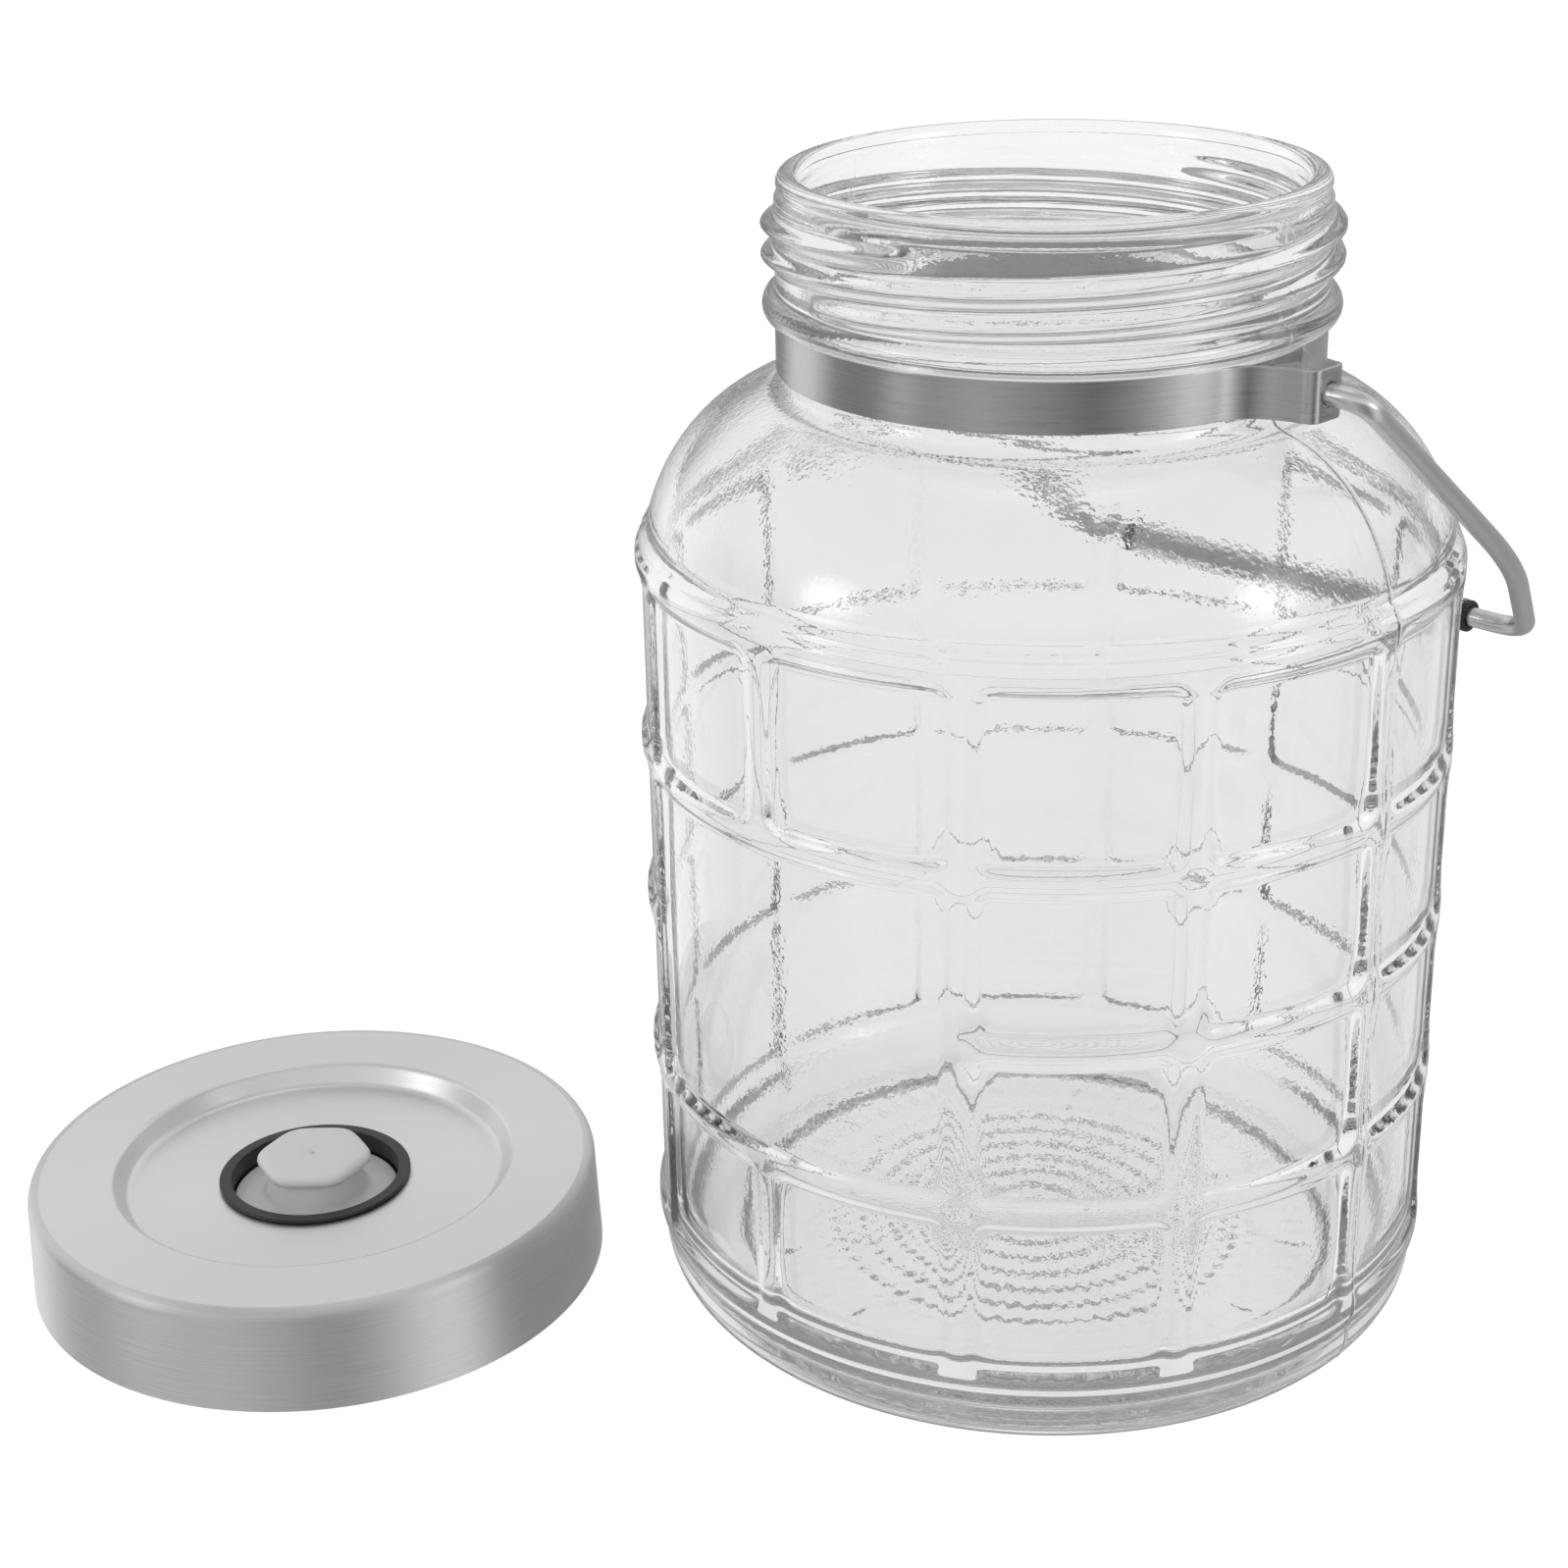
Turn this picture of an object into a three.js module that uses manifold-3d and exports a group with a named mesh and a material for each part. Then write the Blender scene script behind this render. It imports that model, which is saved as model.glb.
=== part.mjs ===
// Fermentation jar: a wide-mouth pressed-glass barrel jar with a raised grid of ribs, a steel
// neck band that carries a swinging wire handle, and its screw lid lying beside it.
// Millimetres, +Z up. Bearings are degrees round the jar from the front (-Y) towards +X.
// The finished group is moved so that its origin is the middle of the bottom of its bounding box.

import * as THREE from 'three';
import Module from 'manifold-3d';
import { mergeVertices } from 'three/addons/utils/BufferGeometryUtils.js';

const wasm = await Module();
wasm.setup();

// Jar body
const JAR_HEIGHT = 240;
const BODY_RADIUS = 82.5;
const WALL = 4.2;
const BASE_THICKNESS = 7;
const PUSH_UP = 3;
const BEARING_RING = { inner: 66, outer: 74.5 };
const HEEL_HEIGHT = 10;
const INNER_HEEL = 14;

// Raised ribs: five hoops and twelve uprights
const HOOP_HEIGHTS = [16.6, 54.5, 89.8, 124.9, 164.4];
const UPRIGHTS = 12;
const FIRST_UPRIGHT_BEARING = 20;
const RIB = { height: 1.65, footHalf: 3.3, crestHalf: 1.6 };
const PANEL = { from: -70, to: -10, low: 54.5, high: 124.9 };

// Shoulder and neck
const SHOULDER = { centreRadius: 50, centreHeight: 160, rise: 37.8, from: 17, to: 76 };
const NECK_RADIUS = 54.2;
const BAND_SEAT = 53.1;
const NECK_FILLET = 2.4;
const MOUTH_RADIUS = 49.4;
const RIM = { outer: 53.8, drop: 4.6, edge: 1.6 };
const BEAD = { centre: 214.4, half: 2.7, radius: 56.8 };
const THREAD = { starts: 2, firstBearing: -55, low: 219.3, lead: 11.9, sweep: 388, fade: 20 };
const RIDGE = { height: 2.7, half: 2.9 };
const THREAD_BAND = { low: BEAD.centre + BEAD.half, high: JAR_HEIGHT - RIM.drop, rows: 9 };
const INNER_SHOULDER = { centreRadius: 46, centreHeight: 160, rise: 35.5, from: 84 };

// Neck band and its two loops for the handle
const BAND = { bottom: 201.4, height: 10, thickness: 0.9, clearance: 0.3 };
const LOOP = { bearing: 50, reach: 67, halfWidth: 4.9, flare: 15, corner: 2.2 };
const FLARE_START = { out: 2.2, along: 7 };
const FLARE_END = { back: 8, aside: 1.2 };
const PIVOT_HOLE = { radius: 2.6, depth: 8 };

// Handle, drawn flat: x along the pivot axis, y away from it
const WIRE_RADIUS = 2.15;
const HANDLE = { hang: 38.8, end: 62, shank: 74.3, elbow: 74.8, elbowDrop: 71.8, corner: 60.2, grip: 45.4 };
const WIRE_BENDS = [6, 14, 8];
const WIRE_STEPS = 64;
const PIN_HEAD = { radius: 3.4, thickness: 1.4 };
const SLEEVE = { outer: 3.6, inner: 2.45 };
const END_RING = { outer: 3.5, inner: 2.45, thickness: 1.6, gap: 0.3 };
const STANDOFF = 0.6;

// Lid, standing on its open end
const LID_CENTRE = new THREE.Vector2(-159.6, -16.9);
const LID_HEIGHT = 24;
const SHEET = 0.8;
const SHELL = { bottomRadius: 63.1, topRadius: 62.2, lift: 0.8, corner: 2.4 };
const RECESS = { topRadius: 43.9, floorRadius: 41.2, depth: 4.5, holeRadius: 20.6 };
const LINER = { skirt: 62, inner: 58.2, draft: 0.6, collar: 20.2, lip: 21.1, lipHeight: 0.8, hole: 5, web: 2 };
const WELL = { radius: 18.4, depth: 5.6 };
const GASKET = { inner: 48.5, outer: 56.5, thickness: 1.4 };
const VALVE = { flange: 18, flangeThickness: 1, pedestal: 11, waist: 9.6, stem: 4.6, sunk: 1 };
const BULB = { radius: 7, taper: 1.5, height: 2.4 };
const VALVE_CAP = { radius: 13.6, round: 3, thickness: 3, edge: 0.8, lift: 2, turn: 5.6 };
const GAP = 0.3;

// Facets round a turned piece
const LID_SIDES = 40;
const SMALL_SIDES = 16;
const WIRE_SIDES = 8;
const HOLE_SIDES = 24;
const STRAP_STEPS = 6;

// Points nearer than this are one point, and a row this near to a rib's crest line lies on it
const SAME_POINT = 1e-4;
const SHORTEST_EDGE = 1e-3;
const ON_CREST = 0.01;

const degrees = THREE.MathUtils.degToRad;
const point = (radius, height) => new THREE.Vector2(radius, height);

// Points of an ellipse's arc in the radius-height plane, from one angle to another.
function arc(centreRadius, centreHeight, across, up, from, to, steps) {
  const points = [];
  for (let i = 0; i <= steps; i += 1) {
    const angle = degrees(from + (to - from) * i / steps);
    points.push(point(centreRadius + across * Math.cos(angle), centreHeight + up * Math.sin(angle)));
  }
  return points;
}

// A profile of radii and heights revolved about the vertical axis.
function revolve(profile, sides) {
  return new THREE.LatheGeometry(profile, sides).rotateX(Math.PI / 2);
}

// A ring whose profile closes on itself.
function revolveRing(profile, sides) {
  return revolve([...profile, profile[0].clone()], sides);
}

// A geometry as a solid that can be cut and joined, with its shared vertices merged.
function toSolid(geometry) {
  const bare = geometry.index ? geometry.toNonIndexed() : geometry.clone();
  bare.deleteAttribute('normal');
  bare.deleteAttribute('uv');
  const merged = mergeVertices(bare, SAME_POINT);
  return new wasm.Manifold(new wasm.Mesh({
    numProp: 3,
    vertProperties: new Float32Array(merged.attributes.position.array),
    triVerts: new Uint32Array(merged.index.array),
  }));
}

function toGeometry(solid) {
  const mesh = solid.getMesh();
  const geometry = new THREE.BufferGeometry();
  geometry.setAttribute('position', new THREE.BufferAttribute(mesh.vertProperties, 3));
  geometry.setIndex(new THREE.BufferAttribute(mesh.triVerts, 1));
  return geometry;
}

// Columns round the jar: the foot and crest lines of every upright rib and one line between two ribs.
function jarColumns() {
  const foot = THREE.MathUtils.radToDeg(RIB.footHalf / BODY_RADIUS);
  const crest = THREE.MathUtils.radToDeg(RIB.crestHalf / BODY_RADIUS);
  const pitch = 360 / UPRIGHTS;
  const middle = pitch / 2;
  const sector = [-foot, -crest, crest, foot, middle];
  const columns = [];
  for (let i = 0; i < UPRIGHTS; i += 1) {
    columns.push(...sector.map((offset) => FIRST_UPRIGHT_BEARING + i * pitch + offset));
  }
  return columns;
}

// The outside of the jar from the middle of its underside up to the top of the rim.
function outerProfile() {
  const heelWidth = BODY_RADIUS - BEARING_RING.outer;
  const shoulderWidth = BODY_RADIUS - SHOULDER.centreRadius;
  const ribRows = [-RIB.footHalf, -RIB.crestHalf, RIB.crestHalf, RIB.footHalf];
  const { inner } = BEARING_RING;
  const rows = [point(0, PUSH_UP), point(inner - PUSH_UP, PUSH_UP), point(inner, 0)];
  rows.push(...arc(BEARING_RING.outer, HEEL_HEIGHT, heelWidth, HEEL_HEIGHT, -90, 0, 3));
  HOOP_HEIGHTS.forEach((hoop) => ribRows.forEach((row) => rows.push(point(BODY_RADIUS, hoop + row))));
  const { centreRadius, centreHeight, rise, from, to } = SHOULDER;
  rows.push(...arc(centreRadius, centreHeight, shoulderWidth, rise, from, to, 5));
  rows.push(point(BAND_SEAT, centreHeight + rise + NECK_FILLET));
  rows.push(point(BAND_SEAT, BEAD.centre - BEAD.half));
  rows.push(point(BEAD.radius, BEAD.centre - BEAD.half / 2), point(BEAD.radius, BEAD.centre + BEAD.half / 2));
  for (let i = 0; i <= THREAD_BAND.rows; i += 1) {
    const share = i / THREAD_BAND.rows;
    rows.push(point(NECK_RADIUS, THREE.MathUtils.lerp(THREAD_BAND.low, THREAD_BAND.high, share)));
  }
  rows.push(...arc(RIM.outer - RIM.edge, JAR_HEIGHT - RIM.edge, RIM.edge, RIM.edge, 0, 90, 2));
  return rows;
}

// The inside of the jar from the top of the rim down to the middle of the floor.
function innerProfile() {
  const bore = BODY_RADIUS - WALL;
  const floor = PUSH_UP + BASE_THICKNESS;
  const { centreRadius, centreHeight, rise, from } = INNER_SHOULDER;
  const rows = arc(MOUTH_RADIUS + RIM.edge, JAR_HEIGHT - RIM.edge, RIM.edge, RIM.edge, 90, 180, 2);
  rows.push(...arc(centreRadius, centreHeight, bore - centreRadius, rise, from, 0, 5));
  rows.push(...arc(bore - INNER_HEEL, floor + INNER_HEEL, INNER_HEEL, INNER_HEEL, 0, -90, 3));
  rows.push(point(0, floor));
  return rows;
}

function bearingGap(a, b) {
  return Math.abs(THREE.MathUtils.euclideanModulo(a - b + 180, 360) - 180);
}

// How far the ribs stand out of the wall at a bearing and height; the blank panel has none inside it.
function ribRelief(bearing, height) {
  const lowHoop = HOOP_HEIGHTS[0];
  const highHoop = HOOP_HEIGHTS[HOOP_HEIGHTS.length - 1];
  const pitch = 360 / UPRIGHTS;
  const crestAngle = THREE.MathUtils.radToDeg(RIB.crestHalf / BODY_RADIUS) + ON_CREST;
  const crestHeight = RIB.crestHalf + ON_CREST;
  const turn = THREE.MathUtils.euclideanModulo(bearing + 180, 360) - 180;
  const insideColumns = turn > PANEL.from + crestAngle && turn < PANEL.to - crestAngle;
  const insideRows = height > PANEL.low + crestHeight && height < PANEL.high - crestHeight;
  if (insideColumns && insideRows) {
    return 0;
  }
  const past = THREE.MathUtils.euclideanModulo(bearing - FIRST_UPRIGHT_BEARING, pitch);
  const fromUpright = Math.min(past, pitch - past);
  const onUpright = fromUpright < crestAngle && height > lowHoop && height < highHoop;
  const onHoop = HOOP_HEIGHTS.some((hoop) => Math.abs(height - hoop) < crestHeight);
  return onUpright || onHoop ? RIB.height : 0;
}

// How far the thread stands out: each start climbs steadily and dies away over its last degrees.
function threadRelief(bearing, height) {
  let relief = 0;
  for (let start = 0; start < THREAD.starts; start += 1) {
    const begin = THREAD.firstBearing + start * 360 / THREAD.starts;
    const turn = THREE.MathUtils.euclideanModulo(bearing - begin, 360);
    for (const travel of [turn, turn + 360]) {
      const across = (height - THREAD.low - THREAD.lead * travel / 360) / RIDGE.half;
      const ends = Math.min(1, travel / THREAD.fade, (THREAD.sweep - travel) / THREAD.fade);
      if (Math.abs(across) < 1 && ends > 0) {
        relief = Math.max(relief, RIDGE.height * ends * Math.cos(across * Math.PI / 2) ** 2);
      }
    }
  }
  return relief;
}

// The jar: a revolved wall whose columns are set to the rib lines and then pushed out by the relief.
function jarGeometry() {
  const columns = jarColumns();
  const outer = outerProfile();
  const profile = [...outer, ...innerProfile().slice(1)];
  const geometry = revolve(profile, columns.length);
  const position = geometry.attributes.position;
  for (let i = 0; i < position.count; i += 1) {
    const row = i % profile.length;
    const column = Math.floor(i / profile.length) % columns.length;
    const bearing = columns[column];
    const height = profile[row].y;
    let radius = profile[row].x;
    if (row < outer.length && height > HEEL_HEIGHT && height < SHOULDER.centreHeight + HEEL_HEIGHT) {
      radius += ribRelief(bearing, height);
    }
    if (row < outer.length && height > THREAD_BAND.low) {
      radius += threadRelief(bearing, height);
    }
    position.setXYZ(i, radius * Math.sin(degrees(bearing)), -radius * Math.cos(degrees(bearing)), height);
  }
  return geometry;
}

// Half the middle line of the strap, from a quarter turn before a loop to a quarter turn after it.
function strapSide() {
  const ring = BAND_SEAT + BAND.clearance + BAND.thickness / 2;
  const reach = LOOP.reach - BAND.thickness / 2;
  const side = LOOP.halfWidth - BAND.thickness / 2;
  const flare = degrees(LOOP.flare);
  const path = new THREE.Path();
  path.absarc(0, 0, ring, -Math.PI / 2, -flare, false);
  const leave = new THREE.Vector2(ring * Math.cos(flare), ring * Math.sin(flare));
  const first = new THREE.Vector2(leave.x + FLARE_START.out, leave.y - FLARE_START.along);
  const last = new THREE.Vector2(reach - FLARE_END.back, side + FLARE_END.aside);
  path.bezierCurveTo(first.x, -first.y, last.x, -last.y, reach - LOOP.corner, -side);
  path.quadraticCurveTo(reach, -side, reach, -side + LOOP.corner);
  path.lineTo(reach, side - LOOP.corner);
  path.quadraticCurveTo(reach, side, reach - LOOP.corner, side);
  path.bezierCurveTo(last.x, last.y, first.x, first.y, leave.x, leave.y);
  path.absarc(0, 0, ring, flare, Math.PI / 2, false);
  return path.getPoints(STRAP_STEPS);
}

// A closed line moved sideways by a distance, each point along the mean of its two edges' normals.
function offsetLoop(points, distance) {
  return points.map((here, i) => {
    const before = points[(i + points.length - 1) % points.length];
    const after = points[(i + 1) % points.length];
    const along = after.clone().sub(before).normalize();
    return new THREE.Vector2(here.x + along.y * distance, here.y - along.x * distance);
  });
}

// The steel strap round the neck, with a loop on each side and a round hole through each loop's end.
function bandGeometry() {
  const half = strapSide();
  const open = half.slice(0, -1);
  const back = open.map((at) => new THREE.Vector2(-at.x, -at.y));
  const loop = [...open, ...back];
  const middle = loop.filter((at, i) => at.distanceTo(loop[(i + 1) % loop.length]) > SHORTEST_EDGE);
  const shape = new THREE.Shape(offsetLoop(middle, BAND.thickness / 2));
  shape.holes.push(new THREE.Path(offsetLoop(middle, -BAND.thickness / 2)));
  const strap = new THREE.ExtrudeGeometry(shape, { depth: BAND.height, bevelEnabled: false });
  let solid = toSolid(strap);
  for (const side of [-1, 1]) {
    const { radius, depth } = PIVOT_HOLE;
    const drill = new THREE.CylinderGeometry(radius, radius, depth, HOLE_SIDES).rotateZ(Math.PI / 2);
    drill.translate(side * LOOP.reach, 0, BAND.height / 2);
    solid = solid.subtract(toSolid(drill));
  }
  return toGeometry(solid);
}

// A line of straight runs whose corners are rounded by the given bends.
function bentPath(corners, bends) {
  const path = new THREE.CurvePath();
  let from = corners[0];
  for (let i = 1; i < corners.length - 1; i += 1) {
    const corner = corners[i];
    const into = from.clone().sub(corner).normalize().multiplyScalar(bends[i - 1]).add(corner);
    const out = corners[i + 1].clone().sub(corner).normalize().multiplyScalar(bends[i - 1]).add(corner);
    path.add(new THREE.LineCurve3(from, into));
    path.add(new THREE.QuadraticBezierCurve3(into, corner, out));
    from = out;
  }
  path.add(new THREE.LineCurve3(from, corners[corners.length - 1]));
  return path;
}

function gripDrop() {
  return (BODY_RADIUS + RIB.height + STANDOFF + SLEEVE.outer) / Math.cos(degrees(HANDLE.hang));
}

// The wire bail with a flattened head inside each loop of the band.
function wireGeometry() {
  const side = [
    new THREE.Vector3(HANDLE.end, 0, 0),
    new THREE.Vector3(HANDLE.shank, 0, 0),
    new THREE.Vector3(HANDLE.elbow, HANDLE.elbowDrop, 0),
    new THREE.Vector3(HANDLE.corner, gripDrop(), 0),
  ];
  const mirrored = side.map((at) => new THREE.Vector3(-at.x, at.y, 0)).reverse();
  const path = bentPath([...side, ...mirrored], [...WIRE_BENDS, ...[...WIRE_BENDS].reverse()]);
  const section = new THREE.Shape();
  section.absarc(0, 0, WIRE_RADIUS / Math.cos(Math.PI / WIRE_SIDES), 0, 2 * Math.PI, false);
  const wire = new THREE.ExtrudeGeometry(section, {
    steps: WIRE_STEPS,
    curveSegments: WIRE_SIDES / 2,
    bevelEnabled: false,
    extrudePath: path,
  });
  let solid = toSolid(wire);
  for (const end of [-1, 1]) {
    const { radius, thickness } = PIN_HEAD;
    const head = new THREE.CylinderGeometry(radius, radius, thickness, SMALL_SIDES);
    head.rotateZ(Math.PI / 2).translate(end * HANDLE.end, 0, 0);
    solid = solid.add(toSolid(head));
  }
  return toGeometry(solid);
}

// A round collar on the grip bar, between two places along it.
function collarGeometry({ outer, inner }, from, to) {
  const profile = [point(inner, from), point(outer, from), point(outer, to), point(inner, to)];
  return revolveRing(profile, SMALL_SIDES).rotateY(Math.PI / 2);
}

// The pressed steel shell of the lid: skirt, rounded edge, flat rim and recessed middle with a hole.
function shellGeometry() {
  const { bottomRadius, topRadius, lift, corner } = SHELL;
  const floor = LID_HEIGHT - RECESS.depth;
  const outside = [
    point(bottomRadius, lift),
    ...arc(topRadius - corner, LID_HEIGHT - corner, corner, corner, 0, 90, 4),
    point(RECESS.topRadius, LID_HEIGHT),
    point(RECESS.floorRadius, floor),
    point(RECESS.holeRadius, floor),
  ];
  const inside = [
    point(RECESS.holeRadius, floor - SHEET),
    point(RECESS.floorRadius + SHEET / 2, floor - SHEET),
    point(RECESS.topRadius + SHEET / 2, LID_HEIGHT - SHEET),
    ...arc(topRadius - corner, LID_HEIGHT - corner, corner - SHEET, corner - SHEET, 90, 0, 3),
    point(bottomRadius - SHEET, lift),
  ];
  return revolveRing([...outside, ...inside], LID_SIDES);
}

// Heights inside the lid that the liner, the gasket and the valve share.
function lidLevels() {
  const floor = LID_HEIGHT - RECESS.depth;
  const lipTop = floor + GAP + LINER.lipHeight;
  const ceiling = LID_HEIGHT - SHEET - 2 * GAP - LINER.web;
  return { floor, lipTop, ceiling, plate: floor - SHEET - GAP, well: lipTop - WELL.depth };
}

// The black liner: skirt, channel for the gasket, plate and a collar that stands up through the steel.
function linerGeometry() {
  const { floor, lipTop, ceiling, plate, well } = lidLevels();
  const { web } = LINER;
  const channelTop = ceiling + web;
  return revolveRing([
    point(LINER.skirt, 0),
    point(SHELL.topRadius - SHEET - GAP, LID_HEIGHT - SHELL.corner - GAP),
    point(SHELL.topRadius - SHELL.corner, channelTop),
    point(RECESS.topRadius + SHEET + GAP, channelTop),
    point(RECESS.floorRadius + SHEET, plate),
    point(LINER.collar, plate),
    point(LINER.collar, floor + GAP),
    point(LINER.lip, floor + GAP),
    point(LINER.lip, lipTop),
    point(WELL.radius, lipTop),
    point(WELL.radius, well),
    point(LINER.hole, well),
    point(LINER.hole, well - web),
    point(LINER.lip, well - web),
    point(LINER.lip, plate - web),
    point(RECESS.floorRadius + web, plate - web),
    point(RECESS.topRadius + SHEET + GAP + web, ceiling),
    point(LINER.inner - LINER.draft, ceiling),
    point(LINER.inner, 0),
  ], LID_SIDES);
}

function gasketGeometry() {
  const top = lidLevels().ceiling - GAP;
  const bottom = top - GASKET.thickness;
  return revolveRing([
    point(GASKET.inner, bottom),
    point(GASKET.outer, bottom),
    point(GASKET.outer, top),
    point(GASKET.inner, top),
  ], LID_SIDES);
}

// A six-sided outline with rounded corners.
function roundedHexagon(radius, round) {
  const shape = new THREE.Shape();
  const corner = (i) => new THREE.Vector2(radius, 0).rotateAround(new THREE.Vector2(), i * Math.PI / 3);
  for (let i = 0; i < 6; i += 1) {
    const here = corner(i);
    const into = corner(i + 5).sub(here).setLength(round).add(here);
    const out = corner(i + 1).sub(here).setLength(round).add(here);
    if (i === 0) {
      shape.moveTo(into.x, into.y);
    } else {
      shape.lineTo(into.x, into.y);
    }
    shape.quadraticCurveTo(here.x, here.y, out.x, out.y);
  }
  return shape;
}

// The silicone valve: a flange in the well, a waisted foot, a six-sided cap and a bulb below the liner.
function valveGeometry() {
  const { lipTop, well } = lidLevels();
  const flangeTop = well + GAP + VALVE.flangeThickness;
  const bulbTop = well - LINER.web - GAP;
  const bulbBottom = bulbTop - BULB.height;
  const capBottom = lipTop + VALVE_CAP.lift;
  const body = revolve([
    point(0, bulbBottom),
    point(BULB.radius - BULB.taper, bulbBottom),
    point(BULB.radius, bulbTop),
    point(VALVE.stem, bulbTop),
    point(VALVE.stem, well + GAP),
    point(VALVE.flange, well + GAP),
    point(VALVE.flange, flangeTop),
    point(VALVE.pedestal, flangeTop),
    point(VALVE.waist, capBottom),
    point(VALVE.waist, capBottom + VALVE.sunk),
    point(0, capBottom + VALVE.sunk),
  ], LID_SIDES / 2);
  const { radius, round, thickness, edge, turn } = VALVE_CAP;
  const cap = new THREE.ExtrudeGeometry(roundedHexagon(radius - edge, round), {
    depth: thickness - 2 * edge,
    curveSegments: 3,
    bevelSize: edge,
    bevelThickness: edge,
    bevelSegments: 2,
  });
  cap.translate(0, 0, capBottom + edge).rotateZ(degrees(turn));
  return toGeometry(toSolid(body).add(toSolid(cap)));
}

const MATERIALS = {
  glass: new THREE.MeshStandardMaterial({ color: '#e6eaea', roughness: 0.05, metalness: 0 }),
  brushed: new THREE.MeshStandardMaterial({ color: '#b9bbbd', roughness: 0.32, metalness: 1 }),
  wire: new THREE.MeshStandardMaterial({ color: '#a7aaad', roughness: 0.22, metalness: 1 }),
  rubber: new THREE.MeshStandardMaterial({ color: '#1c1c1d', roughness: 0.6, metalness: 0 }),
  plastic: new THREE.MeshStandardMaterial({ color: '#2b2b2d', roughness: 0.42, metalness: 0 }),
  silicone: new THREE.MeshStandardMaterial({ color: '#d9d9d7', roughness: 0.48, metalness: 0 }),
  sleeve: new THREE.MeshStandardMaterial({ color: '#e9eaea', roughness: 0.15, metalness: 0 }),
};

function mesh(name, geometry, material) {
  const piece = new THREE.Mesh(geometry, material);
  piece.name = name;
  return piece;
}

// The band and the handle share the loops' bearing; the handle hangs back until its grip meets the glass.
function bandGroup() {
  const group = new THREE.Group();
  group.rotation.z = degrees(LOOP.bearing - 90);
  const band = mesh('neck_band', bandGeometry(), MATERIALS.brushed);
  band.position.z = BAND.bottom;
  group.add(band, handleGroup());
  return group;
}

function handleGroup() {
  const group = new THREE.Group();
  group.position.z = BAND.bottom + BAND.height / 2;
  group.rotation.x = degrees(-HANDLE.hang);
  const ringEnd = HANDLE.grip + END_RING.thickness / 2;
  const ringStart = HANDLE.grip - END_RING.thickness / 2;
  const sleeveEnd = ringStart - END_RING.gap;
  const bar = new THREE.Group();
  bar.position.y = gripDrop();
  bar.add(
    mesh('grip_sleeve', collarGeometry(SLEEVE, -sleeveEnd, sleeveEnd), MATERIALS.sleeve),
    mesh('grip_ring_near', collarGeometry(END_RING, ringStart, ringEnd), MATERIALS.rubber),
    mesh('grip_ring_far', collarGeometry(END_RING, -ringEnd, -ringStart), MATERIALS.rubber),
  );
  group.add(mesh('handle_wire', wireGeometry(), MATERIALS.wire), bar);
  return group;
}

function lidGroup() {
  const group = new THREE.Group();
  group.position.set(LID_CENTRE.x, LID_CENTRE.y, 0);
  group.add(
    mesh('lid_shell', shellGeometry(), MATERIALS.brushed),
    mesh('lid_liner', linerGeometry(), MATERIALS.plastic),
    mesh('lid_gasket', gasketGeometry(), MATERIALS.silicone),
    mesh('lid_valve', valveGeometry(), MATERIALS.silicone),
  );
  return group;
}

const assembly = new THREE.Group();
assembly.add(mesh('jar_glass', jarGeometry(), MATERIALS.glass), bandGroup(), lidGroup());
const extent = new THREE.Box3().setFromObject(assembly, true);
const middle = extent.getCenter(new THREE.Vector3());
assembly.position.set(-middle.x, -middle.y, -extent.min.z);

const part = new THREE.Group();
part.add(assembly);

export default part;
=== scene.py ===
"""Fermentation jar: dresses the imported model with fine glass, brushed steel, wire, plastic and silicone.

Laid out as a Blender add-on. Lengths are metres; names ending in _MM are millimetres. Bearings are degrees
round the jar from its front (-Y) towards +X.
"""

import math

import bmesh
import bpy
import numpy as np
from bpy.props import FloatProperty, FloatVectorProperty, PointerProperty
from bpy.types import Operator, Panel, PropertyGroup
from mathutils import Matrix, Vector


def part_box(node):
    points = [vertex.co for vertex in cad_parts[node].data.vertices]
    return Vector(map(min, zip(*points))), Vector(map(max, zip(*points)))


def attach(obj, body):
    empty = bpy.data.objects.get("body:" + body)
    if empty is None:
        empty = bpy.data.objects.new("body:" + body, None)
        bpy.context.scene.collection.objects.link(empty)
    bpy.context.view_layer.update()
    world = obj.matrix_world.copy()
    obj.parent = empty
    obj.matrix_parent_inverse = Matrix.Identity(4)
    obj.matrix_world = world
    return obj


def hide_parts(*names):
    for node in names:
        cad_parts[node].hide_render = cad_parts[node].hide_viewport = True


bl_info = {
    "name": "Fermentation jar",
    "version": (1, 0, 0),
    "blender": (4, 5, 0),
    "location": "View3D > Sidebar > Jar",
    "description": "Makes the glass, band, handle and lid of a fermentation jar round its solid model",
    "category": "Object",
}

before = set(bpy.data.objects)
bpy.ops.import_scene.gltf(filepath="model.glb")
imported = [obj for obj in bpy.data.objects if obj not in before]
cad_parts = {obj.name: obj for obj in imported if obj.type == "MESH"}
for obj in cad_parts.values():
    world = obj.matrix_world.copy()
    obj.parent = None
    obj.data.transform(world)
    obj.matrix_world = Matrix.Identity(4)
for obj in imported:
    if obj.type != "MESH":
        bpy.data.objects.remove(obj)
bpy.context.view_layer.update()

MM = 0.001
JAR_BODY = "jar"
HANDLE_BODY = "handle"
DEGREE = math.pi / 180

# Places that come from the frame
JAR_LOW, JAR_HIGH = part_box("jar_glass")
LID_LOW, LID_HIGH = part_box("lid_shell")
BAND_LOW, BAND_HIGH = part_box("neck_band")
JAR_AXIS = ((JAR_LOW + JAR_HIGH) / 2).to_2d()
LID_AXIS = ((LID_LOW + LID_HIGH) / 2).to_2d()
PIVOT_HEIGHT = (BAND_LOW.z + BAND_HIGH.z) / 2

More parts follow.
